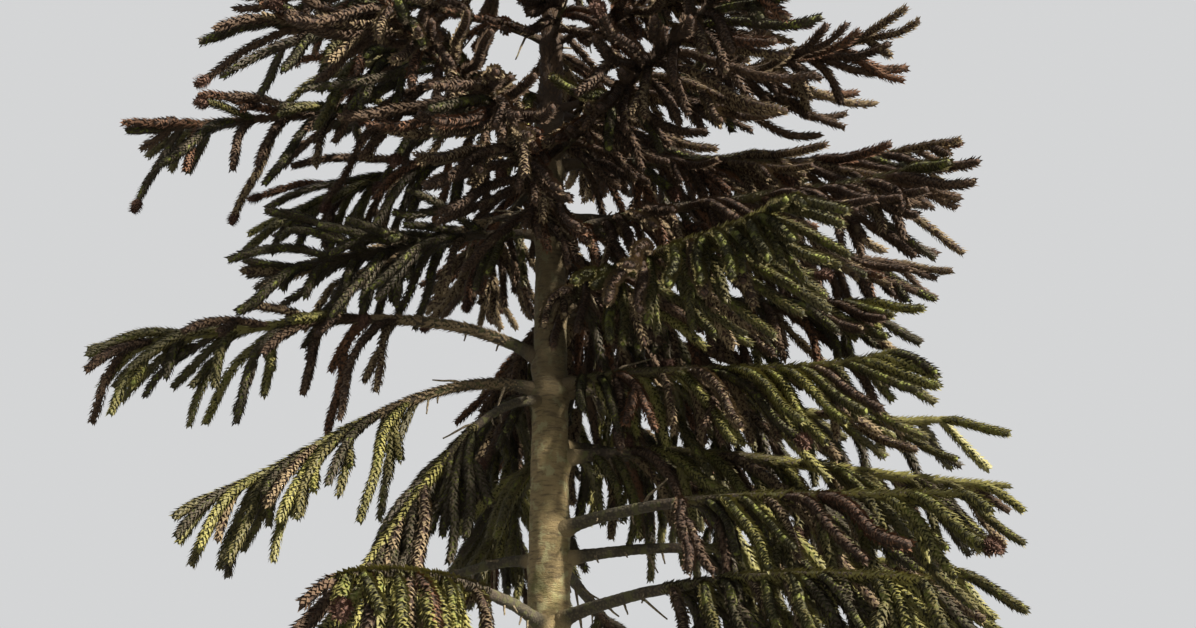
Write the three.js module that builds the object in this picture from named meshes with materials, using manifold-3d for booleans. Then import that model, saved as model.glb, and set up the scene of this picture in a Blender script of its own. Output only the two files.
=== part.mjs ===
// A mature monkey puzzle tree, whole, from a flat cut at ground level to the tip of its leader.
// Millimetres, +Z up. The origin is the centre of the trunk's flat cut. +X is to the right and +Y is
// away from the viewer, who stands in front of the tree.
//
// The trunk is one tapering solid with a flared foot. Whorls of limbs leave it. A low limb starts as a
// bare bough, which ends where it enters its mass of foliage, and a higher one is leafy from the trunk.
// A mass of foliage is one stem with rope-like shoots to both sides. The scale leaves of a shoot stand
// out of it as whorls of points, larger than life, because each stands for a spray of leaves.

import * as THREE from "three";
import { mergeVertices } from "three/addons/utils/BufferGeometryUtils.js";
import Module from "manifold-3d";

const wasm = await Module();
wasm.setup();

// Driving sizes of the trunk.
const TRUNK_TOP = 10700;
const TRUNK_FOOT_RADIUS = 205;
const TRUNK_TOP_RADIUS = 40;
const TRUNK_TAPER_POWER = 0.75;
const TRUNK_LEAN = -45;
const TRUNK_SWAY = 28;
const TRUNK_SIDES = 12;
const TRUNK_STEPS = 13;
const TRUNK_RING_CROWDING = 1.7;
const FLARE_REACH = 150;
const FLARE_FALL = 140;
const FLARE_LOBES = 6;
const FLARE_LOBE_DEPTH = 0.16;

// Driving sizes of the crown, which is a column to its shoulder and a dome above it.
const CROWN_RADIUS = 3850;
const CROWN_SHOULDER = 7000;
const CROWN_TOP = 11300;
const DOME_POWER = 0.6;
const SHOOTS_PAST_LIMB = 330;

// Driving sizes of a limb's wood. The steps where its solid has a ring are in WOOD_RINGS.
const LIMB_STEPS = 10;
const LIMB_SIDES = 4;
const LIMB_ROOT_RADIUS = 52;
const LIMB_SHARE_OF_TRUNK = 0.4;
const LIMB_TIP_RADIUS = 20;
const LIMB_REACH_FOR_FULL_RADIUS = 3400;
const WOOD_RINGS = [0, 1, 3, 5, 7, 9];
const BOUGH_END = 3;
const TIP_SHOOT_START = 8.4;

// Driving sizes of the shoots. A limb has slots for them in pairs, and some of the slots are filled.
const SHOOT_STEPS = 6;
const SHOOT_SIDES = 3;
const SHOOT_SLOTS = 32;
const FIRST_SLOTS = [1, 2];
const SLOTS_APART = 5;
const FIRST_SHOOT = 0.2;
const SHOOT_LENGTH = 1120;
const SHOOT_SAG = 1.5;
const LIMB_REACH_FOR_FULL_SHOOTS = 2600;
const LEAF_POINT_RADIUS = 68;
const SHOOT_RINGS = [[0, 12], [0.3, LEAF_POINT_RADIUS], [0.85, 0.85 * LEAF_POINT_RADIUS], [1, 14]];
const CONE_LENGTH = 170;
const CONE_RADIUS = 52;
const CONE_SHARE = 0.03;
const LEADER_LENGTH = 640;
const LEADER_SIDE_SHOOTS = 5;

// The gap between two solids that meet, and the space kept between shoots of two masses.
const GAP = 0.3;
const SHOOT_CLEARANCE = 12;
const SLIVER = 0.05;

// Looks of the bark, and of green, mixed and withered foliage.
const BARK = { color: 0x94866a, roughness: 0.9, metalness: 0 };
const GREEN = { color: 0x5b6230, roughness: 0.75, metalness: 0 };
const MIXED = { color: 0x5a5038, roughness: 0.8, metalness: 0 };
const BROWN = { color: 0x54403a, roughness: 0.85, metalness: 0 };

// The whorls of limbs, from the lowest up. The slopes are a limb's own in degrees at the trunk, along
// its middle and at its end. Hang is how strongly its shoots droop, and is negative where they turn up.
// A limb is its bearing in degrees, from 0 to the right, through 90 away from the viewer and 180 to the
// left, its share of the crown's reach and, where it has one, its height above the rest of its whorl.
const WHORLS = [
  {
    height: 3150, slopes: [12, -6, -14], hang: 1.3, look: GREEN, bough: true,
    limbs: [[251, 0.94], [314, 0.95]],
  },
  {
    height: 2900, slopes: [12, -22, -20], hang: 1.5, look: GREEN, bough: true,
    limbs: [[28, 0.88], [120, 0.9]],
  },
  {
    height: 3850, slopes: [12, -8, -6], hang: 0.9, look: GREEN, bough: true,
    limbs: [[324, 0.95], [354, 0.88, -120]],
  },
  {
    height: 3700, slopes: [10, -22, -16], hang: 1.4, look: MIXED, bough: true,
    limbs: [[75, 0.95], [150, 0.8]],
  },
  {
    height: 4500, slopes: [14, -10, 2], hang: 0.9, look: GREEN, bough: false,
    limbs: [[2, 1.05], [38, 0.96, 130], [104, 0.9]],
  },
  {
    height: 5250, slopes: [38, -8, -12], hang: 3.2, look: GREEN, bough: true,
    limbs: [[178, 1.04]],
  },
  {
    height: 5050, slopes: [24, -39, -24], hang: 2.6, look: GREEN, bough: true,
    limbs: [[188, 0.86]],
  },
  {
    height: 4950, slopes: [0, -58, -50], hang: 1.4, look: GREEN, bough: true,
    limbs: [[230, 0.72]],
  },
  {
    height: 5150, slopes: [12, -12, 12], hang: 0.8, look: GREEN, bough: false,
    limbs: [[336, 0.8], [8, 0.95, -140], [60, 0.95], [116, 0.85]],
  },
  {
    height: 5750, slopes: [14, -13, 0], hang: 0.7, look: MIXED, bough: false,
    limbs: [[304, 0.85], [350, 0.76], [40, 0.88], [96, 0.85]],
  },
  {
    height: 6550, slopes: [8, -20, -14], hang: 1.0, look: MIXED, bough: false,
    limbs: [[184, 0.72, -60], [166, 0.6, 120]],
  },
  {
    height: 6450, slopes: [10, -7, 6], hang: 0.5, look: BROWN, bough: false,
    limbs: [[336, 0.92], [15, 0.95, 130], [262, 0.72], [72, 0.9]],
  },
  {
    height: 7150, slopes: [10, -4, 12], hang: 0.2, look: BROWN, bough: false,
    limbs: [[1, 0.96], [300, 0.85], [242, 0.8], [112, 0.92]],
  },
  {
    height: 7600, slopes: [6, -6, -12], hang: 1.5, look: MIXED, bough: false,
    limbs: [[184, 1.13], [155, 0.86, -160], [214, 0.84, 160]],
  },
  {
    height: 7750, slopes: [10, -3, 14], hang: -0.2, look: BROWN, bough: false,
    limbs: [[344, 0.86], [44, 1.0]],
  },
  {
    height: 8450, slopes: [12, -2, 10], hang: 0, look: BROWN, bough: false,
    limbs: [[198, 1.0], [285, 1.0], [336, 0.82], [78, 1.0]],
  },
  {
    height: 9200, slopes: [18, 2, 14], hang: -0.1, look: BROWN, bough: false,
    limbs: [[160, 1.0], [240, 1.0], [12, 0.88]],
  },
  {
    height: 9900, slopes: [26, 8, 20], hang: -0.3, look: BROWN, bough: false,
    limbs: [[308, 1.0], [190, 1.0], [62, 1.0]],
  },
];

// How much a limb strays from its whorl's row, each way: in millimetres, and in degrees.
const HEIGHT_STRAY = 55;
const RISE_STRAY = 3;
const LEVEL_STRAY = 2;
const TIP_STRAY = 5;
const SWEEP_STRAY = 8;

// Which of a limb's or shoot's features a random number belongs to.
const FEATURE = {
  height: 1, rise: 2, level: 3, tip: 4, sweep: 5,
  place: 6, spread: 7, tilt: 8, length: 9, hang: 10, cone: 11,
};

const UP = new THREE.Vector3(0, 0, 1);
const radians = THREE.MathUtils.degToRad;

// A number from 0 to 1 that depends only on its three keys.
function chance(seed, slot, feature) {
  const wave = Math.sin(seed * 12.9898 + slot * 78.233 + feature * 37.719) * 43758.5453;
  return wave - Math.floor(wave);
}

// The same, from -1 to 1.
function jitter(seed, slot, feature) {
  return 2 * chance(seed, slot, feature) - 1;
}

// The trunk's centre at a height: a slight lean with a gentle sway.
function trunkCentre(height) {
  const share = height / TRUNK_TOP;
  const sway = TRUNK_SWAY * Math.sin(2 * Math.PI * share) * share;
  return new THREE.Vector3(TRUNK_LEAN * share + sway, sway * (1 - share), height);
}

// The trunk's radius at a height, without the root flare.
function trunkRadius(height) {
  const left = Math.max(0, 1 - height / TRUNK_TOP);
  return TRUNK_TOP_RADIUS + (TRUNK_FOOT_RADIUS - TRUNK_TOP_RADIUS) * Math.pow(left, TRUNK_TAPER_POWER);
}

// How much the root flare adds to the radius, in lobes round the foot.
function rootFlare(height, angle) {
  const lobes = 1 + FLARE_LOBE_DEPTH * Math.cos(FLARE_LOBES * angle);
  return FLARE_REACH * Math.exp(-height / FLARE_FALL) * lobes;
}

// The crown's outer radius at a height.
function crownRadius(height) {
  if (height < CROWN_SHOULDER) {
    return CROWN_RADIUS;
  }
  return CROWN_RADIUS * Math.pow((CROWN_TOP - height) / (CROWN_TOP - CROWN_SHOULDER), DOME_POWER);
}

// A direction across another one, level where it can be.
function acrossOf(along) {
  const side = new THREE.Vector3().crossVectors(along, UP);
  return side.lengthSq() < 1e-6 ? new THREE.Vector3(1, 0, 0) : side.normalize();
}

// A ring of a solid: its centre, its facing, its radius at each angle and how far it is turned.
function ring(centre, along, radiusAt, turn = 0) {
  return { centre, along, radiusAt, turn };
}

// A closed solid: a cylinder whose rings are moved, turned and sized one by one.
function ringedSolid(rings, sides) {
  const body = new THREE.CylinderGeometry(1, 1, 1, sides, rings.length - 1);
  body.deleteAttribute("normal");
  body.deleteAttribute("uv");
  const shape = mergeVertices(body, 1e-4);
  const position = shape.getAttribute("position");
  const point = new THREE.Vector3();
  for (let i = 0; i < position.count; i += 1) {
    point.fromBufferAttribute(position, i);
    const own = rings[Math.round((point.y + 0.5) * (rings.length - 1))];
    const across = acrossOf(own.along);
    const over = new THREE.Vector3().crossVectors(across, own.along);
    const angle = Math.atan2(point.x, point.z) + own.turn;
    const radius = Math.hypot(point.x, point.z) * own.radiusAt(angle);
    const place = own.centre.clone();
    place.addScaledVector(across, radius * Math.sin(angle));
    place.addScaledVector(over, radius * Math.cos(angle));
    position.setXYZ(i, place.x, place.y, place.z);
  }
  const vertProperties = new Float32Array(position.array);
  const triVerts = new Uint32Array(shape.index.array);
  return new wasm.Manifold(new wasm.Mesh({ numProp: 3, vertProperties, triVerts }));
}

// The largest body of a solid as a geometry, so that a loose scrap is dropped.
function geometryOf(made) {
  const bodies = made.simplify(SLIVER).decompose();
  bodies.sort((a, b) => b.volume() - a.volume());
  const mesh = bodies[0].getMesh();
  const shape = new THREE.BufferGeometry();
  shape.setAttribute("position", new THREE.BufferAttribute(mesh.vertProperties, 3));
  shape.setIndex(new THREE.BufferAttribute(mesh.triVerts, 1));
  return shape;
}

// The trunk. A margin makes it larger, for cutting a limb's root to the trunk's surface.
function trunkSolid(margin) {
  const rings = [];
  for (let i = 0; i <= TRUNK_STEPS; i += 1) {
    const height = TRUNK_TOP * Math.pow(i / TRUNK_STEPS, TRUNK_RING_CROWDING);
    const radiusAt = (angle) => trunkRadius(height) + rootFlare(height, angle) + margin;
    rings.push(ring(trunkCentre(height), UP, radiusAt));
  }
  return ringedSolid(rings, TRUNK_SIDES);
}

// The points of a limb: its slope eases from the first to the last, and its heading sweeps a little.
function limbPath(limb) {
  const points = [trunkCentre(limb.height)];
  for (let i = 0; i < LIMB_STEPS; i += 1) {
    const share = (i + 0.5) / LIMB_STEPS;
    const nearTrunk = (limb.rise - limb.level) * Math.pow(1 - share, 3);
    const nearTip = (limb.tip - limb.level) * Math.pow(share, 3);
    const slope = radians(limb.level + nearTrunk + nearTip);
    const heading = radians(limb.bearing + limb.sweep * share);
    const move = new THREE.Vector3(Math.cos(heading), Math.sin(heading), Math.tan(slope));
    move.setLength(limb.reach / LIMB_STEPS);
    points.push(points[i].clone().add(move));
  }
  return points;
}

// The place and direction at a share of a path.
function alongPath(points, share) {
  const at = Math.min(share, 0.9999) * (points.length - 1);
  const index = Math.floor(at);
  const along = points[index + 1].clone().sub(points[index]);
  const place = points[index].clone().addScaledVector(along, at - index);
  return { place, along: along.normalize() };
}

// The facing of a point of a path, halfway between its two stretches.
function facingOf(points, index) {
  const before = points[Math.max(index - 1, 0)];
  const after = points[Math.min(index + 1, points.length - 1)];
  return after.clone().sub(before).normalize();
}

// The points of a shoot that leaves its limb and hangs, or turns up, as it goes. It sags in its first half
// and makes up for that in its second.
function shootPath(start, direction, length, hang) {
  const points = [start.clone()];
  const heading = direction.clone();
  for (let i = 0; i < SHOOT_STEPS; i += 1) {
    const sag = SHOOT_SAG * Math.cos((Math.PI * (i + 0.5)) / SHOOT_STEPS);
    heading.z -= (hang + sag) / SHOOT_STEPS;
    heading.normalize();
    points.push(points[i].clone().addScaledVector(heading, length / SHOOT_STEPS));
  }
  return points;
}

// All limbs, from the rows of whorls and the crown's outline.
function limbsOf(whorls) {
  const all = [];
  whorls.forEach((whorl, level) => {
    whorl.limbs.forEach(([bearing, share, above = 0], order) => {
      const seed = all.length + 1;
      const limb = {
        name: `${String(level + 1).padStart(2, "0")}_${order + 1}`,
        seed,
        bearing,
        height: whorl.height + above + HEIGHT_STRAY * jitter(seed, 0, FEATURE.height),
        reach: (crownRadius(whorl.height) - SHOOTS_PAST_LIMB) * share,
        rise: whorl.slopes[0] + RISE_STRAY * jitter(seed, 0, FEATURE.rise),
        level: whorl.slopes[1] + LEVEL_STRAY * jitter(seed, 0, FEATURE.level),
        tip: whorl.slopes[2] + TIP_STRAY * jitter(seed, 0, FEATURE.tip),
        sweep: SWEEP_STRAY * jitter(seed, 0, FEATURE.sweep),
        hang: whorl.hang,
        look: whorl.look,
        bough: whorl.bough,
      };
      limb.points = limbPath(limb);
      all.push(limb);
    });
  });
  return all;
}

// The radius of a limb's wood at a share of its path. A short limb is thinner.
function limbRadius(limb, share) {
  const widest = Math.min(LIMB_ROOT_RADIUS, LIMB_SHARE_OF_TRUNK * trunkRadius(limb.height));
  const root = widest * Math.min(1, limb.reach / LIMB_REACH_FOR_FULL_RADIUS);
  return Math.max(root, 1.3 * LIMB_TIP_RADIUS) * (1 - share) + LIMB_TIP_RADIUS * share;
}

// How far along its limb a slot is, from the trunk at 0 to the tip at 1. Slots are in pairs.
function slotShare(slot) {
  const pair = Math.floor(slot / 2);
  return FIRST_SHOOT + ((1 - FIRST_SHOOT) * (pair + 0.5)) / (SHOOT_SLOTS / 2);
}

// The shoot in a slot of a limb: to one side in an even slot and to the other in an odd one.
function shootOf(limb, slot) {
  const side = slot % 2 === 0 ? -1 : 1;
  const share = slotShare(slot);
  const { place, along } = alongPath(limb.points, share + 0.02 * jitter(limb.seed, slot, FEATURE.place));
  const across = acrossOf(along);
  const over = new THREE.Vector3().crossVectors(across, along);
  const spread = radians(56 - 32 * share + 12 * jitter(limb.seed, slot, FEATURE.spread));
  const tilt = radians(22 * jitter(limb.seed, slot, FEATURE.tilt));
  const outward = across.multiplyScalar(side * Math.cos(tilt)).addScaledVector(over, Math.sin(tilt));
  const direction = along.multiplyScalar(Math.cos(spread)).addScaledVector(outward, Math.sin(spread));
  const fullness = 0.38 + 0.52 * Math.sin(Math.PI * Math.pow(share, 0.9));
  const vigour = Math.min(1, limb.reach / LIMB_REACH_FOR_FULL_SHOOTS);
  const length = SHOOT_LENGTH * vigour * (fullness + 0.25 * chance(limb.seed, slot, FEATURE.length));
  const droop = limb.hang * (1.45 - 0.95 * share) * (0.8 + 0.4 * chance(limb.seed, slot, FEATURE.hang));
  return shootPath(place, direction, length, droop);
}

// The least distance between two straight stretches.
function stretchDistance(start1, end1, start2, end2) {
  const run1 = end1.clone().sub(start1);
  const run2 = end2.clone().sub(start2);
  const apart = start1.clone().sub(start2);
  const square1 = run1.lengthSq();
  const square2 = run2.lengthSq();
  const both = run1.dot(run2);
  const slack = square1 * square2 - both * both;
  const inReach = (share) => Math.min(1, Math.max(0, share));
  const level = both * run2.dot(apart) - run1.dot(apart) * square2;
  const first = slack > 1e-9 ? inReach(level / slack) : 0;
  const share2 = inReach((both * first + run2.dot(apart)) / square2);
  const share1 = inReach((both * share2 - run1.dot(apart)) / square1);
  const nearest = start1.clone().addScaledVector(run1, share1);
  return nearest.distanceTo(start2.clone().addScaledVector(run2, share2));
}

// What has been placed, as stretches with an owner and a radius.
class TakenSpace {
  constructor() {
    this.stretches = [];
  }

  add(owner, points, radiusAt) {
    for (let i = 0; i + 1 < points.length; i += 1) {
      const radius = radiusAt((i + 1) / (points.length - 1));
      this.stretches.push({ owner, start: points[i], end: points[i + 1], radius });
    }
  }

  isClear(owner, points, radius) {
    return this.stretches.every((other) => {
      const least = radius + other.radius + SHOOT_CLEARANCE;
      return other.owner === owner || points.slice(1).every((end, i) => {
        return stretchDistance(points[i], end, other.start, other.end) >= least;
      });
    });
  }
}

// A leafy shoot: a root sunk in its limb, then whorls of leaf points and a tip. Each ring is turned back
// by half a side from the last, so that its points stand between those of the last.
function shootSolid(points) {
  const rings = SHOOT_RINGS.map(([share, radius], i) => {
    const { place, along } = alongPath(points, share);
    return ring(place, along, () => radius, -i * radians(180 / SHOOT_SIDES));
  });
  return ringedSolid(rings, SHOOT_SIDES);
}

// The withered pollen cone at the end of some shoots: a spindle that goes on from the shoot's tip.
function coneSolid(points) {
  const { place, along } = alongPath(points, 1);
  const rings = [-0.3, 0.15, 0.6, 1].map((share) => {
    const width = Math.sin(Math.PI * (0.2 + 0.65 * Math.max(0, share)));
    const centre = place.clone().addScaledVector(along, CONE_LENGTH * share);
    return ring(centre, along, () => CONE_RADIUS * width);
  });
  return ringedSolid(rings, LIMB_SIDES + 1);
}

// A stretch of a limb's bare wood, between two of its steps.
function woodSolid(limb, from, to) {
  const steps = WOOD_RINGS.filter((step) => step >= from && step <= to);
  const rings = steps.map((step) => {
    const facing = facingOf(limb.points, step);
    return ring(limb.points[step], facing, () => limbRadius(limb, step / LIMB_STEPS));
  });
  return ringedSolid(rings, LIMB_SIDES);
}

// The stem of a limb's mass. Where the limb has a bough, the stem starts a gap beyond its end.
function stemSolid(limb) {
  if (!limb.bough) {
    return woodSolid(limb, 0, LIMB_STEPS);
  }
  const points = limb.points.map((point) => point.clone());
  points[BOUGH_END].addScaledVector(facingOf(points, BOUGH_END), GAP);
  return woodSolid({ ...limb, points }, BOUGH_END, LIMB_STEPS);
}

// The mass of foliage of one limb: its stem, a shoot at its tip, and one in each filled slot that is free.
function massSolid(limb, taken) {
  const tipSteps = [TIP_SHOOT_START, (TIP_SHOOT_START + LIMB_STEPS) / 2, LIMB_STEPS];
  const tip = tipSteps.map((step) => alongPath(limb.points, step / LIMB_STEPS).place);
  const firstShare = limb.bough ? (BOUGH_END + 0.5) / LIMB_STEPS : 0;
  let made = stemSolid(limb).add(shootSolid(tip));
  for (let slot = FIRST_SLOTS[limb.seed % 2]; slot < SHOOT_SLOTS; slot += SLOTS_APART) {
    const points = shootOf(limb, slot);
    if (slotShare(slot) > firstShare && taken.isClear(limb.seed, points, LEAF_POINT_RADIUS)) {
      taken.add(limb.seed, points, () => LEAF_POINT_RADIUS);
      made = made.add(shootSolid(points));
      if (chance(limb.seed, slot, FEATURE.cone) < CONE_SHARE) {
        made = made.add(coneSolid(points));
      }
    }
  }
  return made;
}

// The leader above the trunk's tip: an upright leafy shoot with a ring of shorter ones round its foot.
function leaderSolid() {
  const foot = trunkCentre(TRUNK_TOP).setZ(TRUNK_TOP + GAP);
  const stem = shootPath(foot, UP, LEADER_LENGTH, 0);
  let made = shootSolid(stem);
  for (let i = 0; i < LEADER_SIDE_SHOOTS; i += 1) {
    const heading = (2 * Math.PI * (i + 0.3)) / LEADER_SIDE_SHOOTS;
    const direction = new THREE.Vector3(Math.cos(heading), Math.sin(heading), 0.75).normalize();
    const points = shootPath(alongPath(stem, 0.3).place, direction, 0.8 * LEADER_LENGTH, -0.3);
    made = made.add(shootSolid(points));
  }
  return made;
}

// A named mesh with its own material.
function piece(name, made, look) {
  const mesh = new THREE.Mesh(geometryOf(made), new THREE.MeshStandardMaterial(look));
  mesh.name = name;
  return mesh;
}

// The space that the trunk and all limbs take, with the leafy shoot at each limb's tip.
function takenByWood(limbs) {
  const taken = new TakenSpace();
  const trunkPoints = [];
  for (let i = 0; i <= TRUNK_STEPS; i += 1) {
    trunkPoints.push(trunkCentre((TRUNK_TOP * i) / TRUNK_STEPS));
  }
  taken.add(0, trunkPoints, (share) => trunkRadius(TRUNK_TOP * (share - 1 / TRUNK_STEPS)));
  limbs.forEach((limb) => {
    taken.add(limb.seed, limb.points, (share) => {
      const isLeafy = share * LIMB_STEPS > TIP_SHOOT_START;
      return isLeafy ? LEAF_POINT_RADIUS : limbRadius(limb, share - 1 / LIMB_STEPS);
    });
  });
  return taken;
}

// The whole tree.
function tree() {
  const group = new THREE.Group();
  const limbs = limbsOf(WHORLS);
  const taken = takenByWood(limbs);
  const cutter = trunkSolid(GAP);
  group.add(piece("trunk", trunkSolid(0), BARK));
  limbs.forEach((limb) => {
    if (limb.bough) {
      group.add(piece(`bough_${limb.name}`, woodSolid(limb, 0, BOUGH_END).subtract(cutter), BARK));
    }
    group.add(piece(`foliage_${limb.name}`, massSolid(limb, taken).subtract(cutter), limb.look));
  });
  group.add(piece("foliage_leader", leaderSolid(), BROWN));
  return group;
}

export default tree();
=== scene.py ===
"""The monkey puzzle tree as it is seen: wrinkled trunk, mossy boughs and rope-like leafy shoots.

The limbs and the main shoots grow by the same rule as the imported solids, in metres. More shoots
then fill the free places on each limb, within the same reach, and every shoot is dressed with its
overlapping scale leaves.
"""

import logging
import math
from dataclasses import dataclass, field
from enum import Enum
from functools import partial

import bpy
import numpy as np
from numpy.typing import NDArray
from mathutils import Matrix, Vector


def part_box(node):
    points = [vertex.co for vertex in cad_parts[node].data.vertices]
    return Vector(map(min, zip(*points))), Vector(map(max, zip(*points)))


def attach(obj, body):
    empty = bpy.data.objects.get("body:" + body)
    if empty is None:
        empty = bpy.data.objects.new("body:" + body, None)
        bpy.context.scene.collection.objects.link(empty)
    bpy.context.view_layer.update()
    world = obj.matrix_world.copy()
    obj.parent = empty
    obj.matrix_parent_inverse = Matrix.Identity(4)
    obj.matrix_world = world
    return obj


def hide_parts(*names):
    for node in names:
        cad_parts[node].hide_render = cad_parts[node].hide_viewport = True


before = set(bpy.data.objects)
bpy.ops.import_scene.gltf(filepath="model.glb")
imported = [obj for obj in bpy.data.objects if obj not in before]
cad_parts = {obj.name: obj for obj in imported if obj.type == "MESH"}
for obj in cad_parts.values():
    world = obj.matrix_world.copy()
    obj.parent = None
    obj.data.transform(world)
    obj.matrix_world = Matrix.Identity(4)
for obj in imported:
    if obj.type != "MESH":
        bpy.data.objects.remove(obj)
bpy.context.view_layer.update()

Array = NDArray[np.float64]
Indices = NDArray[np.int64]
# Triangles of one batch: their points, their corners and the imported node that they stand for.
Batch = tuple[Array, Indices, str]
# Places along something, and a value at each of them.
Profile = tuple[tuple[float, ...], tuple[float, ...]]
Material = bpy.types.Material
Socket = bpy.types.NodeSocket

log = logging.getLogger("monkey_puzzle")

UP = np.array([0.0, 0.0, 1.0])
FULL_TURN = 2 * math.pi
GOLDEN_TURN = math.pi * (3 - math.sqrt(5))
MM_PER_METRE = 1000
TRIANGLES_PER_PIECE = 190_000

# The wave that chance reads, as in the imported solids.
SEED_STEP = 12.9898
SLOT_STEP = 78.233
FEATURE_STEP = 37.719
WAVE_HEIGHT = 43758.5453

# The last place on a path where its direction is read.
LAST_SHARE = 0.9999
# Below these a length counts as none, a heading as upright, and two stretches as parallel.
LEAST_LENGTH = 1e-12
LEAST_SIDE = 1e-6
LEAST_SLACK = 1e-15
# How far a tube's closed tip stands out, as a share of its last radius.
TIP_BULGE = 0.6


class Feature(Enum):
    """What a number that looks random decides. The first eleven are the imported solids' own."""

    HEIGHT = 1
    RISE = 2
    LEVEL = 3
    TIP = 4
    SWEEP = 5
    PLACE = 6
    SPREAD = 7
    TILT = 8
    LENGTH = 9
    HANG = 10
    CONE = 11
    TINT = 12
    FORK = 13
    RAGGED = 14
    LEAF_LENGTH = 15
    LEAF_OPENING = 16
    LEAF_TURN = 17
    STUB = 18
    FILL = 19
    WILD_SPREAD = 20
    WILD_TILT = 21
    WILD_HANG = 22
    THICKNESS = 23
    WAVE = 24


class Tint(Enum):
    """The base colours that are dealt out to the shoots, spray by spray."""

    MOSS = "moss"
    OLIVE = "olive"
    DARK_OLIVE = "dark_olive"
    UMBER = "umber"
    RUSSET = "russet"
    ASH = "ash"


class Look(Enum):
    """How alive a limb is. The value is the record's material slot."""

    GREEN = "green_foliage"
    MIXED = "mixed_foliage"
    BROWN = "brown_foliage"


WITHERED = {Tint.UMBER, Tint.RUSSET, Tint.ASH}

# The share of a limb's sprays of each tint, in Tint's order, near the trunk and at the tip.
TINT_SHARES: dict[Look, tuple[tuple[float, ...], tuple[float, ...]]] = {
    Look.GREEN: ((0.05, 0.20, 0.30, 0.22, 0.05, 0.18), (0.40, 0.38, 0.15, 0.03, 0.01, 0.03)),
    Look.MIXED: ((0.02, 0.08, 0.20, 0.38, 0.10, 0.22), (0.14, 0.26, 0.26, 0.18, 0.08, 0.08)),
    Look.BROWN: ((0.00, 0.01, 0.07, 0.52, 0.14, 0.26), (0.00, 0.05, 0.11, 0.50, 0.12, 0.22)),
}

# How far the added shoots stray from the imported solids' rule.
WILDNESS: dict[Look, float] = {Look.GREEN: 0.5, Look.MIXED: 0.45, Look.BROWN: 0.2}

TINT_SLOTS: dict[Tint, Look] = {
    Tint.MOSS: Look.GREEN,
    Tint.OLIVE: Look.GREEN,
    Tint.DARK_OLIVE: Look.MIXED,
    Tint.UMBER: Look.BROWN,
    Tint.RUSSET: Look.BROWN,
    Tint.ASH: Look.BROWN,
}


def chance(seed: int, slot: int | Array, feature: Feature) -> float | Array:
    """Gives a number from 0 to 1 that depends only on its keys.

    Args:
        seed: The limb's running number.
        slot: The shoot's slot, or an array of leaf numbers.
        feature: What the number decides.

    Returns:
        One number, or one for each slot.
    """
    wave = np.sin(seed * SEED_STEP + slot * SLOT_STEP + feature.value * FEATURE_STEP) * WAVE_HEIGHT
    return wave - np.floor(wave)


def jitter(seed: int, slot: int | Array, feature: Feature) -> float | Array:
    """Gives the same, from -1 to 1."""
    return 2 * chance(seed, slot, feature) - 1


def unit(vector: Array) -> Array:
    """Gives vectors of length 1, from one vector or from rows of them."""
    length = np.linalg.norm(vector, axis=-1, keepdims=True)
    return vector / np.maximum(length, LEAST_LENGTH)


def across_of(along: Array) -> Array:
    """Gives a direction across another one, level where it can be."""
    side = np.cross(along, UP)
    return np.array([1.0, 0.0, 0.0]) if side.dot(side) < LEAST_SIDE else unit(side)


def along_path(points: Array, share: float) -> tuple[Array, Array]:
    """Finds a place on a path and the direction there.

    Args:
        points: The path's points.
        share: The share of the path's steps.

    Returns:
        The place and the direction.
    """
    at = min(share, LAST_SHARE) * (len(points) - 1)
    index = int(at)
    step = points[index + 1] - points[index]
    return points[index] + step * (at - index), unit(step)


def smooth_points(points: Array, at: Array) -> Array:
    """Reads places on a smooth curve through the points of a path.

    Args:
        points: The path's points.
        at: Where to read, counted in the path's steps.

    Returns:
        One place for each number in at.
    """
    before = 2 * points[0] - points[1]
    after = 2 * points[-1] - points[-2]
    padded = np.vstack([before, points, after])
    index = np.clip(at.astype(int), 0, len(points) - 2)
    t = (at - index)[:, None]
    p0, p1, p2, p3 = (padded[index + k] for k in range(4))
    bend = (2 * p0 - 5 * p1 + 4 * p2 - p3) * t**2 + (3 * p1 - p0 - 3 * p2 + p3) * t**3
    return 0.5 * (2 * p1 + (p2 - p0) * t + bend)


def path_length(points: Array) -> float:
    """Measures a path along its points."""
    return float(np.linalg.norm(np.diff(points, axis=0), axis=1).sum())


@dataclass
class Spine:
    """A smooth centre line with a frame carried along it without twist."""

    centres: Array
    along: Array = field(init=False)
    across: Array = field(init=False)
    over: Array = field(init=False)

    def __post_init__(self) -> None:
        """Carries the frame from the first centre to the last."""
        self.along = unit(np.gradient(self.centres, axis=0))
        self.across = np.empty_like(self.along)
        side = across_of(self.along[0])
        for i, heading in enumerate(self.along):
            side = unit(side - heading * side.dot(heading))
            self.across[i] = side
        self.over = np.cross(self.across, self.along)

    @classmethod
    def through(cls, points: Array, count: int) -> "Spine":
        """Makes a spine of evenly spaced centres on the smooth curve through some points."""
        return cls(smooth_points(points, np.linspace(0, len(points) - 1, count)))

    def read(self, shares: Array) -> tuple[Array, Array, Array, Array]:
        """Reads the spine between its centres.

        Args:
            shares: The shares of the spine's steps where it is read.

        Returns:
            The centres, and the directions along, across and over, one row for each share.
        """
        at = shares * (len(self.centres) - 1)
        index = np.clip(at.astype(int), 0, len(self.centres) - 2)
        t = (at - index)[:, None]
        rows = (self.centres, self.along, self.across, self.over)
        return tuple(row[index] * (1 - t) + row[index + 1] * t for row in rows)


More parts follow.
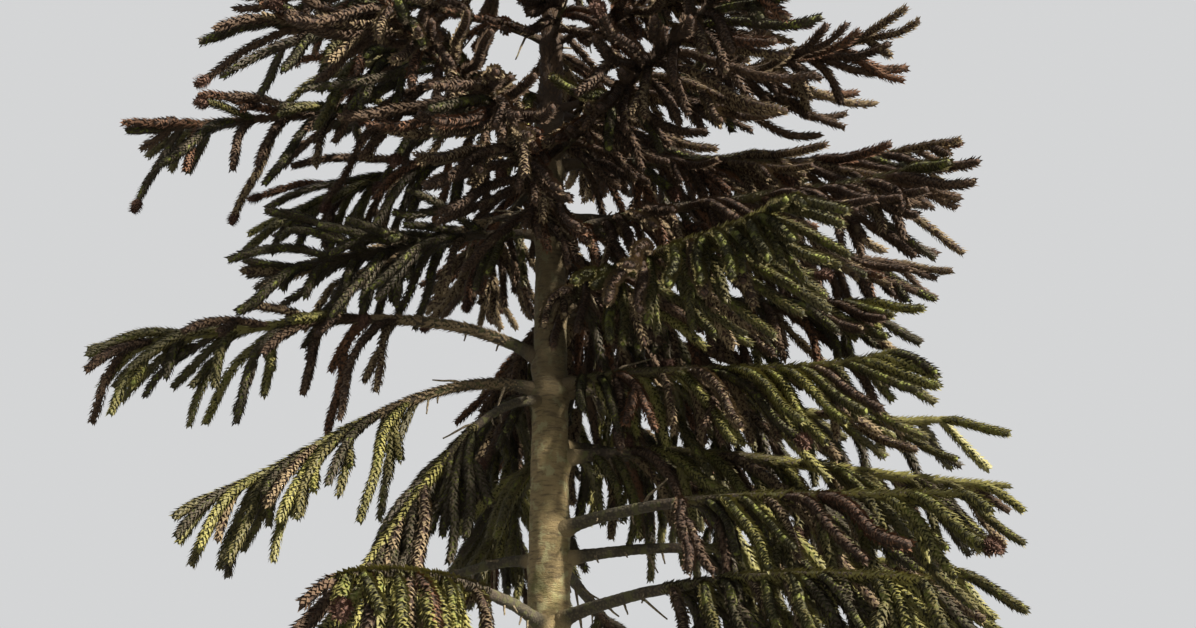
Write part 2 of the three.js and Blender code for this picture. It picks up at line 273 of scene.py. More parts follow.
def tube(spine: Spine, radii: Array, closed_end: bool = True) -> tuple[Array, Indices]:
    """Builds the skin of a tube round a spine.

    Args:
        spine: The centre line.
        radii: The radius of each ring at each side, as rings by sides.
        closed_end: Whether the last ring is closed by a point.

    Returns:
        The points and the triangles.
    """
    rings, sides = radii.shape
    angle = FULL_TURN * np.arange(sides) / sides
    outward = (
        spine.across[:, None, :] * np.sin(angle)[None, :, None]
        + spine.over[:, None, :] * np.cos(angle)[None, :, None]
    )
    points = (spine.centres[:, None, :] + outward * radii[:, :, None]).reshape(-1, 3)
    first = np.arange(rings - 1)[:, None] * sides + np.arange(sides)[None, :]
    beside = np.arange(rings - 1)[:, None] * sides + (np.arange(sides)[None, :] + 1) % sides
    lower = np.stack([first, beside, beside + sides], axis=-1).reshape(-1, 3)
    upper = np.stack([first, beside + sides, first + sides], axis=-1).reshape(-1, 3)
    faces = [lower, upper]
    if closed_end:
        tip = spine.centres[-1] + spine.along[-1] * radii[-1].mean() * TIP_BULGE
        points = np.vstack([points, tip])
        rim = (rings - 1) * sides + np.arange(sides)
        faces.append(np.stack([rim, np.roll(rim, -1), np.full(sides, rings * sides)], axis=-1))
    return points, np.vstack(faces)


@dataclass(frozen=True)
class Wave:
    """A wave on a round skin: waves round it, climb for each metre, start and height."""

    turns: float
    climb: float
    start: float = 0.0
    height: float = 1.0

    def at(self, angle: Array, run: Array, shift: float | Array = 0.0) -> Array:
        """Gives the wave at angles round the skin and places along it, started later by a shift."""
        return self.height * np.sin(self.turns * angle + self.climb * run + self.start + shift)


@dataclass
class MeshStock:
    """Triangles of one kind, gathered to be joined into a few pieces of the scene."""

    is_smooth: bool
    batches: list[Batch] = field(default_factory=list)

    def add(self, points: Array, faces: Indices, node: str) -> None:
        """Keeps triangles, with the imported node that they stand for."""
        self.batches.append((points, faces, node))

    def pieces(self, name: str, slot: str, material: Material) -> None:
        """Joins what was gathered into as few pieces as their size allows.

        Args:
            name: The pieces' name, which a number follows where there are several.
            slot: The record's material slot; not used.
            material: The finish.
        """
        total = sum(len(faces) for _, faces, _ in self.batches)
        count = max(1, math.ceil(total / TRIANGLES_PER_PIECE))
        groups: list[list[Batch]] = [[] for _ in range(count)]
        done = 0
        for batch in self.batches:
            groups[min(count - 1, done * count // max(total, 1))].append(batch)
            done += len(batch[1])
        for number, group in enumerate(groups, start=1):
            self.join(name if count == 1 else f"{name}_{number}", group, material)

    def join(self, name: str, group: list[Batch], material: Material) -> None:
        """Makes one piece, gives it its body and its finish, and hides the imported nodes it stands
        for.

        Args:
            name: The piece's name.
            group: The batches that it is made of.
            material: The finish.
        """
        starts = np.cumsum([0] + [len(points) for points, _, _ in group])
        points = np.vstack([points for points, _, _ in group])
        faces = np.vstack([faces + start for (_, faces, _), start in zip(group, starts)])
        mesh = bpy.data.meshes.new(name)
        mesh.from_pydata(points, [], faces)
        mesh.polygons.foreach_set("use_smooth", np.full(len(faces), self.is_smooth))
        mesh.materials.append(material)
        piece = bpy.data.objects.new(name, mesh)
        bpy.context.scene.collection.objects.link(piece)
        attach(piece, "root")
        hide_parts(*sorted({node for _, _, node in group}))
        log.info("%s: %d triangles", name, len(faces))


def linear(value: str) -> tuple[float, float, float, float]:
    """Turns an sRGB colour into the linear colour that a shader takes.

    Args:
        value: The colour in hex, such as #82827f.

    Returns:
        Its linear red, green and blue, and an alpha of 1.
    """
    channels = [int(value[i : i + 2], 16) / 255 for i in (1, 3, 5)]
    # The sRGB curve: straight near black, and a power above that.
    curved = [c / 12.92 if c <= 0.04045 else ((c + 0.055) / 1.055) ** 2.4 for c in channels]
    return curved[0], curved[1], curved[2], 1.0


# Where Blender's Mix node has its share, the colour under, the colour over and the result.
MIX_SHARE, MIX_UNDER, MIX_OVER, MIX_RESULT = 0, 6, 7, 2


def grain(place: Socket, size: float, detail: float) -> dict[str | int, object]:
    """Gives a noise pattern's inputs, from its patches' size in millimetres and its fineness."""
    return {"Vector": place, "Scale": MM_PER_METRE / size, "Detail": detail, "Roughness": 0.6}


@dataclass(frozen=True)
class Layer:
    """A colour over another: none of it where a pattern has one value, and the most at another."""

    pattern: Socket
    none_at: float
    most_at: float
    colour: str | Socket
    most: float = 1.0


@dataclass
class Paint:
    """A material while it is being made. Its place is the place on the object in metres."""

    name: str
    material: Material = field(init=False)
    place: Socket = field(init=False)

    def __post_init__(self) -> None:
        """Starts the material."""
        self.material = bpy.data.materials.new(self.name)
        self.material.use_nodes = True
        self.place = self.add_node("TexCoord", {}, "Object")

    def add_node(
        self, kind: str, inputs: dict[str | int, object], output: str | int = 0, **settings: object
    ) -> Socket:
        """Adds a node with its settings and links.

        Args:
            kind: Blender's name for the kind of node, after "ShaderNode".
            inputs: A value, a colour in hex or another node's output, for each input that is set.
            output: Which of the node's outputs is wanted.
            settings: The node's own properties.

        Returns:
            That output.
        """
        tree = self.material.node_tree
        node = tree.nodes.new(f"ShaderNode{kind}")
        for name, value in settings.items():
            setattr(node, name, value)
        for key, value in inputs.items():
            if isinstance(value, Socket):
                tree.links.new(value, node.inputs[key])
            else:
                node.inputs[key].default_value = linear(value) if isinstance(value, str) else value
        return node.outputs[output]

    def layered(self, base: str | Socket, *layers: Layer) -> Socket:
        """Lays colours over each other.

        Args:
            base: The lowest colour.
            layers: Those over it, from the lowest up. Each one's edges are eased.

        Returns:
            The output that holds the colour.
        """
        tone = base
        for layer in layers:
            limits = {
                "Value": layer.pattern,
                "From Min": layer.none_at,
                "From Max": layer.most_at,
                "To Max": layer.most,
            }
            share = self.add_node("MapRange", limits, interpolation_type="SMOOTHSTEP")
            mixed = {MIX_SHARE: share, MIX_UNDER: tone, MIX_OVER: layer.colour}
            tone = self.add_node("Mix", mixed, MIX_RESULT, data_type="RGBA")
        return tone

    def finished(
        self, tone: Socket, roughness: float, height: Socket | None = None, relief: float = 0.0
    ) -> Material:
        """Gives the shader its colour, its gloss and its relief.

        Args:
            tone: The colour.
            roughness: The shader's roughness.
            height: The pattern that raises the surface, where one does.
            relief: How far it raises it, in millimetres.

        Returns:
            The material.
        """
        tree = self.material.node_tree
        shader = tree.nodes["Principled BSDF"]
        tree.links.new(tone, shader.inputs["Base Color"])
        shader.inputs["Roughness"].default_value = roughness
        # Leaf wax, bark and matt paint all bend light about this much.
        shader.inputs["IOR"].default_value = 1.45
        if height is not None:
            raised = {"Height": height, "Strength": 1.0, "Distance": relief / MM_PER_METRE}
            tree.links.new(self.add_node("Bump", raised, "Normal"), shader.inputs["Normal"])
        return self.material


@dataclass(frozen=True)
class LeafFinish:
    """Leathery scale leaves: waxy and slightly glossy while green, dry and dull when withered."""

    name: str
    main: str
    other: str
    roughness: float

    def material(self) -> Material:
        """Builds the finish: its tone drifts from spray to spray and from leaf to leaf.

        Returns:
            The material.
        """
        paint = Paint(self.name)
        # Whole sprays are a little nearer to one tone or the other, as with age and light.
        sprays = paint.add_node("TexNoise", grain(paint.place, 350, 2))
        # Single leaves differ too, at about a leaf's own size of 50 mm and below.
        leaves = paint.add_node("TexNoise", grain(paint.place, 30, 2))
        by_spray = paint.layered(self.main, Layer(sprays, 0.35, 0.65, self.other))
        by_leaf = paint.layered(self.main, Layer(leaves, 0.3, 0.7, self.other))
        halves = {MIX_SHARE: 0.5, MIX_UNDER: by_spray, MIX_OVER: by_leaf}
        tone = paint.add_node("Mix", halves, MIX_RESULT, data_type="RGBA")
        # A leaf's fine veins are 2 mm wide, a slight unevenness, and are drawn 4 mm wide to show.
        veins = paint.add_node("TexNoise", grain(paint.place, 4, 2))
        return paint.finished(tone, self.roughness, veins, 0.6)


LEAF_FINISHES: dict[Tint, LeafFinish] = {
    # Lit side of the living shoots: a mossy yellow green.
    Tint.MOSS: LeafFinish("Leaf_living_moss_green", "#7e7840", "#58532f", 0.58),
    # Most living shoots: a dull olive.
    Tint.OLIVE: LeafFinish("Leaf_living_olive", "#58512b", "#3b361f", 0.60),
    # Old living shoots in the crown's shade.
    Tint.DARK_OLIVE: LeafFinish("Leaf_old_dark_olive", "#2f2a19", "#34291b", 0.70),
    # Most withered shoots: a deep red-brown umber.
    Tint.UMBER: LeafFinish("Leaf_withered_umber", "#54412e", "#37291d", 0.85),
    # Shoots that withered last: russet.
    Tint.RUSSET: LeafFinish("Leaf_withered_russet", "#694830", "#483223", 0.85),
    # Shoots bleached by years of weather: grey brown with some lichen.
    Tint.ASH: LeafFinish("Leaf_bleached_ash", "#7f6e52", "#554733", 0.90),
}

# The heights in metres over which the bark passes to its darker tones: down to the foot, up to
# where the limbs crowd over it and their shade is painted on, and up to the young wood among the
# top's leaves.
TO_FOOT = (2.3, 1.0)
TO_PAINTED_CROWN_SHADE = (4.5, 5.3)
TO_YOUNG = (6.6, 7.9)


@dataclass(frozen=True)
class TrunkFinish:
    """Old araucaria bark: khaki grey, with level wrinkles, darker creases and pale lichen."""

    name: str = "Bark_trunk_wrinkled"
    ridge: str = "#83724f"
    crease: str = "#5a4d37"
    lichen: str = "#8a835f"
    moss: str = "#5b5930"
    foot: str = "#4d4637"
    # Painted shade: the darker tone of the bark within the crown, where the limbs above shade it.
    painted_crown_shade: str = "#3a3122"
    young: str = "#33261b"

    def material(self) -> Material:
        """Builds the finish from wrinkles 20 mm high, cracks 8 mm high and patches of lichen.

        Returns:
            The material.
        """
        paint = Paint(self.name)
        # Level wrinkles: noise that is drawn out five times as wide as it is high.
        wide = paint.add_node("Mapping", {"Vector": paint.place, "Scale": (1.0, 1.0, 5.0)})
        wrinkles = paint.add_node("TexNoise", grain(wide, 100, 5))
        # Lichen lies in patches as large as a hand, green moss in larger ones.
        hands = paint.add_node("TexNoise", grain(paint.place, 90, 5))
        larger = paint.add_node("TexNoise", grain(paint.place, 220, 6))
        height = paint.add_node("SeparateXYZ", {"Vector": paint.place}, "Z")
        tone = paint.layered(
            self.crease,
            Layer(wrinkles, 0.32, 0.56, self.ridge),
            Layer(hands, 0.52, 0.62, self.lichen),
            Layer(larger, 0.50, 0.78, self.moss),
            Layer(height, *TO_FOOT, self.foot, 0.7),
            # Painted shade within the crown, where the limbs above shade the bark.
            Layer(height, *TO_PAINTED_CROWN_SHADE, self.painted_crown_shade, 0.65),
            Layer(height, *TO_YOUNG, self.young),
        )
        # Cracks: noise that is drawn out two and a half times as wide as it is high.
        flatter = paint.add_node("Mapping", {"Vector": paint.place, "Scale": (1.0, 1.0, 2.5)})
        cracks = paint.add_node("TexNoise", grain(flatter, 20, 4))
        both = paint.add_node("Math", {0: wrinkles, 1: cracks}, operation="ADD")
        return paint.finished(tone, 0.9, both, 14)


@dataclass(frozen=True)
class LimbFinish:
    """A limb's bark: knobbly with leaf scars, brown grey, and mossy in patches."""

    name: str
    bark: str
    scar: str
    moss: str
    mossiness: float
    foot: str = "#6f6145"
    # Painted shade: the foot's darker tone within the crown, where the limbs above shade it.
    foot_painted_crown_shade: str = "#473c2a"
    foot_high_up: str = "#35281c"

    def material(self) -> Material:
        """Builds the finish from scars 15 mm wide and moss in patches 100 mm wide.

        Returns:
            The material.
        """
        paint = Paint(self.name)
        # Cells 22 mm apart leave scars 15 mm wide between their edges.
        cells = {"Vector": paint.place, "Scale": MM_PER_METRE / 22, "Randomness": 0.9}
        scars = paint.add_node("TexVoronoi", cells, "Distance")
        patches = paint.add_node("TexNoise", grain(paint.place, 100, 4))
        # The more mossy a limb is, the lower the value where moss starts and the softer its edge.
        bare_at, full_at = 0.62 - 0.3 * self.mossiness, 0.72 - 0.25 * self.mossiness
        mossy = paint.layered(
            self.bark,
            Layer(scars, 0.15, 0.6, self.scar),
            Layer(patches, bare_at, full_at, self.moss),
        )
        # The foot has the trunk's colour: the painted shade within the crown and the darker young
        # wood higher up. The limb's own takes over from 180 to 280 mm from the tree's axis.
        height = paint.add_node("SeparateXYZ", {"Vector": paint.place}, "Z")
        flattened = {0: paint.place, 1: (1.0, 1.0, 0.0)}
        level = paint.add_node("VectorMath", flattened, operation="MULTIPLY")
        away = paint.add_node("VectorMath", {0: level}, "Value", operation="LENGTH")
        tone = paint.layered(
            self.foot,
            Layer(height, *TO_PAINTED_CROWN_SHADE, self.foot_painted_crown_shade),
            Layer(height, *TO_YOUNG, self.foot_high_up),
            Layer(away, 0.18, 0.28, mossy),
        )
        fine = paint.add_node("TexNoise", grain(paint.place, 12, 3))
        both = paint.add_node("Math", {0: fine, 1: scars}, operation="SUBTRACT")
        return paint.finished(tone, 0.9, both, 6)


# The stems inside living shoots: olive brown, seen between the leaves.
LIVING_TWIG = LimbFinish("Twig_living_olive_brown", "#4c4a2a", "#2c2a18", "#666a30", 0.4)
# The stems inside withered shoots: dry and brown.
WITHERED_TWIG = LimbFinish("Twig_withered_brown", "#4a3526", "#2a1d14", "#70624a", 0.1)
# The bare boughs: dark, with much moss.
BARE_BOUGH = LimbFinish("Bark_bough_mossy", "#4b4433", "#332d22", "#454327", 0.45)
# The wood inside the masses: browner, with less moss.
LEAFY_LIMB = LimbFinish("Bark_limb_brown_grey", "#4b4030", "#30281e", "#4b4a2a", 0.35)
# Dead stubs: bleached by the weather and almost without moss.
DEAD_TWIG = LimbFinish("Twig_dead_bleached", "#857860", "#564b3a", "#6a684a", 0.15)


@dataclass(frozen=True)
class ConeFinish:
    """Spent pollen cones: dry, dark red-brown scales with paler tips."""

    name: str = "Cone_spent_red_brown"
    scale: str = "#3b241b"
    worn: str = "#5f4534"

    def material(self) -> Material:
        """Builds the finish, worn paler in spots 15 mm wide.

        Returns:
            The material.
        """
        paint = Paint(self.name)
        spots = paint.add_node("TexNoise", grain(paint.place, 15, 3))
        tone = paint.layered(self.scale, Layer(spots, 0.45, 0.65, self.worn))
        rough = paint.add_node("TexNoise", grain(paint.place, 5, 2))
        return paint.finished(tone, 0.85, rough, 1)


@dataclass(frozen=True)
class FloorFinish:
    """The studio's pale, matt floor."""

    name: str = "Floor_studio_pale"
    main: str = "#82827f"
    other: str = "#7e7e7b"

    def material(self) -> Material:
        """Builds the finish with a barely visible mottle.

        Returns:
            The material.
        """
        paint = Paint(self.name)
        mottle = paint.add_node("TexNoise", grain(paint.place, 600, 2))
        tone = paint.layered(self.main, Layer(mottle, 0.3, 0.7, self.other))
        return paint.finished(tone, 0.95)


@dataclass(frozen=True)
class TrunkShape:
    """The trunk's centre line and radius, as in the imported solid."""

    top: float = 10.7
    foot_radius: float = 0.205
    top_radius: float = 0.040
    taper_power: float = 0.75
    lean: float = -0.045
    sway: float = 0.028
    steps: int = 13
    flare_reach: float = 0.150
    flare_fall: float = 0.140
    flare_lobes: int = 6
    flare_lobe_depth: float = 0.16

    def centre(self, height: float) -> Array:
        """Gives the trunk's centre.

        Args:
            height: How high above the ground, in metres.

        Returns:
            The place.
        """
        share = height / self.top
        sway = self.sway * math.sin(FULL_TURN * share) * share
        return np.array([self.lean * share + sway, sway * (1 - share), height])

    def radius(self, height: float) -> float:
        """Gives the trunk's radius at a height, without the flare."""
        left = max(0.0, 1 - height / self.top)
        return self.top_radius + (self.foot_radius - self.top_radius) * left**self.taper_power

    def flare(self, height: float, angle: Array) -> Array:
        """Gives what the flare adds to the radius at each angle."""
        lobes = 1 + self.flare_lobe_depth * np.cos(self.flare_lobes * angle)
        return self.flare_reach * math.exp(-height / self.flare_fall) * lobes


@dataclass(frozen=True)
class CrownShape:
    """The crown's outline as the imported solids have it: a column with a dome on its shoulder."""

    radius: float = 3.85
    shoulder: float = 7.0
    top: float = 11.3
    dome_power: float = 0.6
    shoots_past_limb: float = 0.33

    def radius_at(self, height: float) -> float:
        """Gives the crown's radius.

        Args:
            height: How high above the ground, in metres.

        Returns:
            The radius.
        """
        if height < self.shoulder:
            return self.radius
        return self.radius * ((self.top - height) / (self.top - self.shoulder)) ** self.dome_power


TRUNK = TrunkShape()
CROWN = CrownShape()


@dataclass(frozen=True)
class LimbRow:
    """A limb's bearing in degrees, share of the crown's reach, and height above its whorl."""

    bearing: float
    share: float
    above: float = 0.0


@dataclass(frozen=True)
class Whorl:
    """Limbs that leave the trunk together: height, slopes from trunk to tip, droop and look."""

    height: float
    slopes: tuple[float, float, float]
    hang: float
    look: Look
    bough: bool
    limbs: tuple[LimbRow, ...]


WHORLS: tuple[Whorl, ...] = (
    Whorl(3.15, (12, -6, -14), 1.3, Look.GREEN, True, (LimbRow(251, 0.94), LimbRow(314, 0.95))),
    Whorl(2.9, (12, -22, -20), 1.5, Look.GREEN, True, (LimbRow(28, 0.88), LimbRow(120, 0.9))),
    Whorl(
        3.85, (12, -8, -6), 0.9, Look.GREEN, True,
        (LimbRow(324, 0.95), LimbRow(354, 0.88, -0.12)),
    ),
    Whorl(3.7, (10, -22, -16), 1.4, Look.MIXED, True, (LimbRow(75, 0.95), LimbRow(150, 0.8))),
    Whorl(
        4.5, (14, -10, 2), 0.9, Look.GREEN, False,
        (LimbRow(2, 1.05), LimbRow(38, 0.96, 0.13), LimbRow(104, 0.9)),
    ),
    Whorl(5.25, (38, -8, -12), 3.2, Look.GREEN, True, (LimbRow(178, 1.04),)),
    Whorl(5.05, (24, -39, -24), 2.6, Look.GREEN, True, (LimbRow(188, 0.86),)),
    Whorl(4.95, (0, -58, -50), 1.4, Look.GREEN, True, (LimbRow(230, 0.72),)),
    Whorl(
        5.15, (12, -12, 12), 0.8, Look.GREEN, False,
        (LimbRow(336, 0.8), LimbRow(8, 0.95, -0.14), LimbRow(60, 0.95), LimbRow(116, 0.85)),
    ),
    Whorl(
        5.75, (14, -13, 0), 0.7, Look.MIXED, False,
        (LimbRow(304, 0.85), LimbRow(350, 0.76), LimbRow(40, 0.88), LimbRow(96, 0.85)),
    ),
    Whorl(
        6.55, (8, -20, -14), 1.0, Look.MIXED, False,
        (LimbRow(184, 0.72, -0.06), LimbRow(166, 0.6, 0.12)),
    ),
    Whorl(
        6.45, (10, -7, 6), 0.5, Look.BROWN, False,
        (LimbRow(336, 0.92), LimbRow(15, 0.95, 0.13), LimbRow(262, 0.72), LimbRow(72, 0.9)),
    ),
    Whorl(
        7.15, (10, -4, 12), 0.2, Look.BROWN, False,
        (LimbRow(1, 0.96), LimbRow(300, 0.85), LimbRow(242, 0.8), LimbRow(112, 0.92)),
    ),
    Whorl(
        7.6, (6, -6, -12), 1.5, Look.MIXED, False,
        (LimbRow(184, 1.13), LimbRow(155, 0.86, -0.16), LimbRow(214, 0.84, 0.16)),
    ),
    Whorl(7.75, (10, -3, 14), -0.2, Look.BROWN, False, (LimbRow(344, 0.86), LimbRow(44, 1.0))),
    Whorl(
        8.45, (12, -2, 10), 0, Look.BROWN, False,
        (LimbRow(198, 1.0), LimbRow(285, 1.0), LimbRow(336, 0.82), LimbRow(78, 1.0)),
    ),
    Whorl(
        9.2, (18, 2, 14), -0.1, Look.BROWN, False,
        (LimbRow(160, 1.0), LimbRow(240, 1.0), LimbRow(12, 0.88)),
    ),
    Whorl(
        9.9, (26, 8, 20), -0.3, Look.BROWN, False,
        (LimbRow(308, 1.0), LimbRow(190, 1.0), LimbRow(62, 1.0)),
    ),
)


@dataclass(frozen=True)
class Traits:
    """How a limb that stands out on the photograph differs from the others.

    The fill share is the share of its free slots that are filled, on a limb that can be seen
    through. Its own wood is leafy from a share of its path, and has one tint on its inner half and
    one on its outer half. The ease is how much less its added shoots droop, where they arch out
    before they hang.
    """

    fill_share: float | None = None
    leafy_from: float | None = None
    tint: Tint | None = None
    wood_tints: tuple[Tint, Tint] | None = None
    ease: float = 0.0
    is_coning: bool = False


USUAL_TRAITS = Traits()
TRAITS: dict[str, Traits] = {
    "01_1": Traits(tint=Tint.MOSS),
    "05_1": Traits(leafy_from=0.15),
    "05_2": Traits(fill_share=0.6),
    "06_1": Traits(fill_share=0.95, leafy_from=0.10, wood_tints=(Tint.ASH, Tint.MOSS), ease=0.55),
    "07_1": Traits(fill_share=0.8, leafy_from=0.06, wood_tints=(Tint.ASH, Tint.MOSS), ease=0.3),
    "08_1": Traits(tint=Tint.DARK_OLIVE),
    "09_1": Traits(leafy_from=0.06),
    "09_2": Traits(fill_share=0.65, leafy_from=0.06),
    "09_3": Traits(fill_share=0.6),
    "10_1": Traits(leafy_from=0.06, tint=Tint.OLIVE, wood_tints=(Tint.OLIVE, Tint.MOSS)),
    "11_1": Traits(fill_share=0.55, tint=Tint.DARK_OLIVE, ease=0.7),
    "11_2": Traits(fill_share=0.5, tint=Tint.DARK_OLIVE, ease=0.7),
    "12_3": Traits(fill_share=0.6, leafy_from=0.1),
    "13_3": Traits(fill_share=0.5),
    "13_4": Traits(leafy_from=0.1),
    "14_1": Traits(fill_share=0.6, ease=0.6, is_coning=True),
    "14_2": Traits(fill_share=0.5, ease=0.5),
    "14_3": Traits(fill_share=0.5, ease=0.5, is_coning=True),
    "16_1": Traits(fill_share=0.45),
    "17_1": Traits(fill_share=0.5),
    "17_2": Traits(fill_share=0.5),
}

# The share of the sprays that take their limb's own tint, and how far out on the limb they start.
OWN_TINT_SHARE = 0.88
OWN_TINT_FROM = 0.3
# Where leaves start on the wood of the other limbs, past a bare bough and without one.
LEAFY_PAST_BOUGH = 0.36
LEAFY_PAST_TRUNK = 0.24

# The limbs' and shoots' rule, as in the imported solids.
LIMB_STEPS = 10
LIMB_ROOT_RADIUS = 0.052
LEAST_ROOT_RADIUS = 0.026
LIMB_TIP_RADIUS = 0.020
LIMB_SHARE_OF_TRUNK = 0.4
REACH_FOR_FULL_RADIUS = 3.4
BOUGH_END = 3
TIP_SHOOT_START = 8.4
SHOOT_STEPS = 6
SHOOT_SLOTS = 32
FIRST_SLOTS = (1, 2)
SLOTS_APART = 5
FIRST_SHOOT = 0.2
SHOOT_LENGTH = 1.12
SHOOT_SAG = 1.5
REACH_FOR_FULL_SHOOTS = 2.6
LEAF_POINT_RADIUS = 0.068
PACKED_CLEARANCE = 0.012

# How much a limb strays from its whorl's row, each way: in metres, and in degrees.
HEIGHT_STRAY = 0.055
SLOPE_STRAYS = {Feature.RISE: 3, Feature.LEVEL: 2, Feature.TIP: 5}
SWEEP_STRAY = 8


@dataclass(frozen=True)
class ShootRule:
    """How a shoot stands on its limb, with angles in degrees. The wild part is for added ones."""

    place_stray: float = 0.02
    spread_at_trunk: float = 56
    spread_fall: float = 32
    spread_stray: float = 12
    wild_spread: float = 14
    tilt_stray: float = 22
    wild_tilt: float = 34
    end_length: float = 0.38
    middle_length: float = 0.52
    middle_power: float = 0.9
    length_stray: float = 0.25
    droop_at_trunk: float = 1.45
    droop_fall: float = 0.95
    least_droop: float = 0.8
    droop_stray: float = 0.4
    wild_droop: float = 0.45
    eased_sag: float = 2.4


@dataclass(frozen=True)
class ForkRule:
    """How a side shoot leaves a long one, with the angle in radians."""

    share_of_shoots: float = 0.30
    least_length: float = 0.6
    place: float = 0.42
    place_stray: float = 0.12
    angle: float = 0.62
    length_share: float = 0.42
    length_stray: float = 0.1
    hang_when_falling: float = 0.5
    hang_when_rising: float = -0.1
    root_radius: float = 0.016
    slot_past_shoot: int = 200
    turn_slot_past_shoot: int = 100


SHOOT_RULE = ShootRule()
FORK_RULE = ForkRule()


@dataclass(frozen=True)
class ShootRow:
    """A row of shoots that the scene adds along a limb: where, how much shorter and more drooping.

    Their tints are dealt as if they stood at the tint share of the limb.
    """

    first_slot: int
    count: int
    first_share: float
    last_share: float
    length_share: float
    more_hang: float
    tint_share: float

    def share(self, slot: int) -> float:
        """Gives how far along its limb a slot of this row is."""
        step = (self.last_share - self.first_share) / self.count
        return self.first_share + (slot - self.first_slot + 0.5) * step

    def slots(self, step: int = 1) -> range:
        """Gives the row's slots, or every so many of them."""
        return range(self.first_slot, self.first_slot + self.count, step)


ADDED_ROWS = (
    # Shoots that stay near the trunk on a limb that is leafy from there.
    ShootRow(40, 6, 0.07, 0.20, 0.80, 0.7, 0.1),
    # Shoots that hang under a limb like the teeth of a comb.
    ShootRow(60, 11, 0.26, 0.88, 0.62, 2.2, 0.35),
)


@dataclass(frozen=True)
class LeaderRing:
    """A ring of shoots round the leader: where it starts, how steep, how long and how drooping."""

    first_seed: int
    count: int
    turn: float
    rise: float
    foot: float
    length_share: float
    hang: float
    odd_tint: Tint


LEADER_SEED = 90
LEADER_RINGS = (
    LeaderRing(91, 5, 0.3, 0.75, 0.3, 0.8, -0.3, Tint.ASH),
    LeaderRing(96, 4, 0.7, 1.5, 0.45, 0.5, -0.2, Tint.RUSSET),
)


def shoot_path(
    start: Array, direction: Array, length: float, hang: float, sag: float = SHOOT_SAG
) -> Array:
    """Grows a shoot that hangs, or turns up, as it goes, and sags more in its first half.

    Args:
        start: Where it leaves its limb.
        direction: Its heading there.
        length: Its length in metres.
        hang: How strongly it droops.
        sag: How much of that comes early, or late where it is below zero.

    Returns:
        Its points.
    """
    points = [start]
    heading = direction.copy()
    for i in range(SHOOT_STEPS):
        early = sag * math.cos(math.pi * (i + 0.5) / SHOOT_STEPS)
        heading = unit(heading - UP * ((hang + early) / SHOOT_STEPS))
        points.append(points[-1] + heading * (length / SHOOT_STEPS))
    return np.array(points)


def slot_share(slot: int) -> float:
    """Gives how far along its limb a slot is, from the trunk at 0 to the tip at 1."""
    return FIRST_SHOOT + (1 - FIRST_SHOOT) * (slot // 2 + 0.5) / (SHOOT_SLOTS / 2)


def row_of(slot: int) -> ShootRow | None:
    """Gives the added row that a slot is in, if it is in one."""
    return next((row for row in ADDED_ROWS if slot in row.slots()), None)


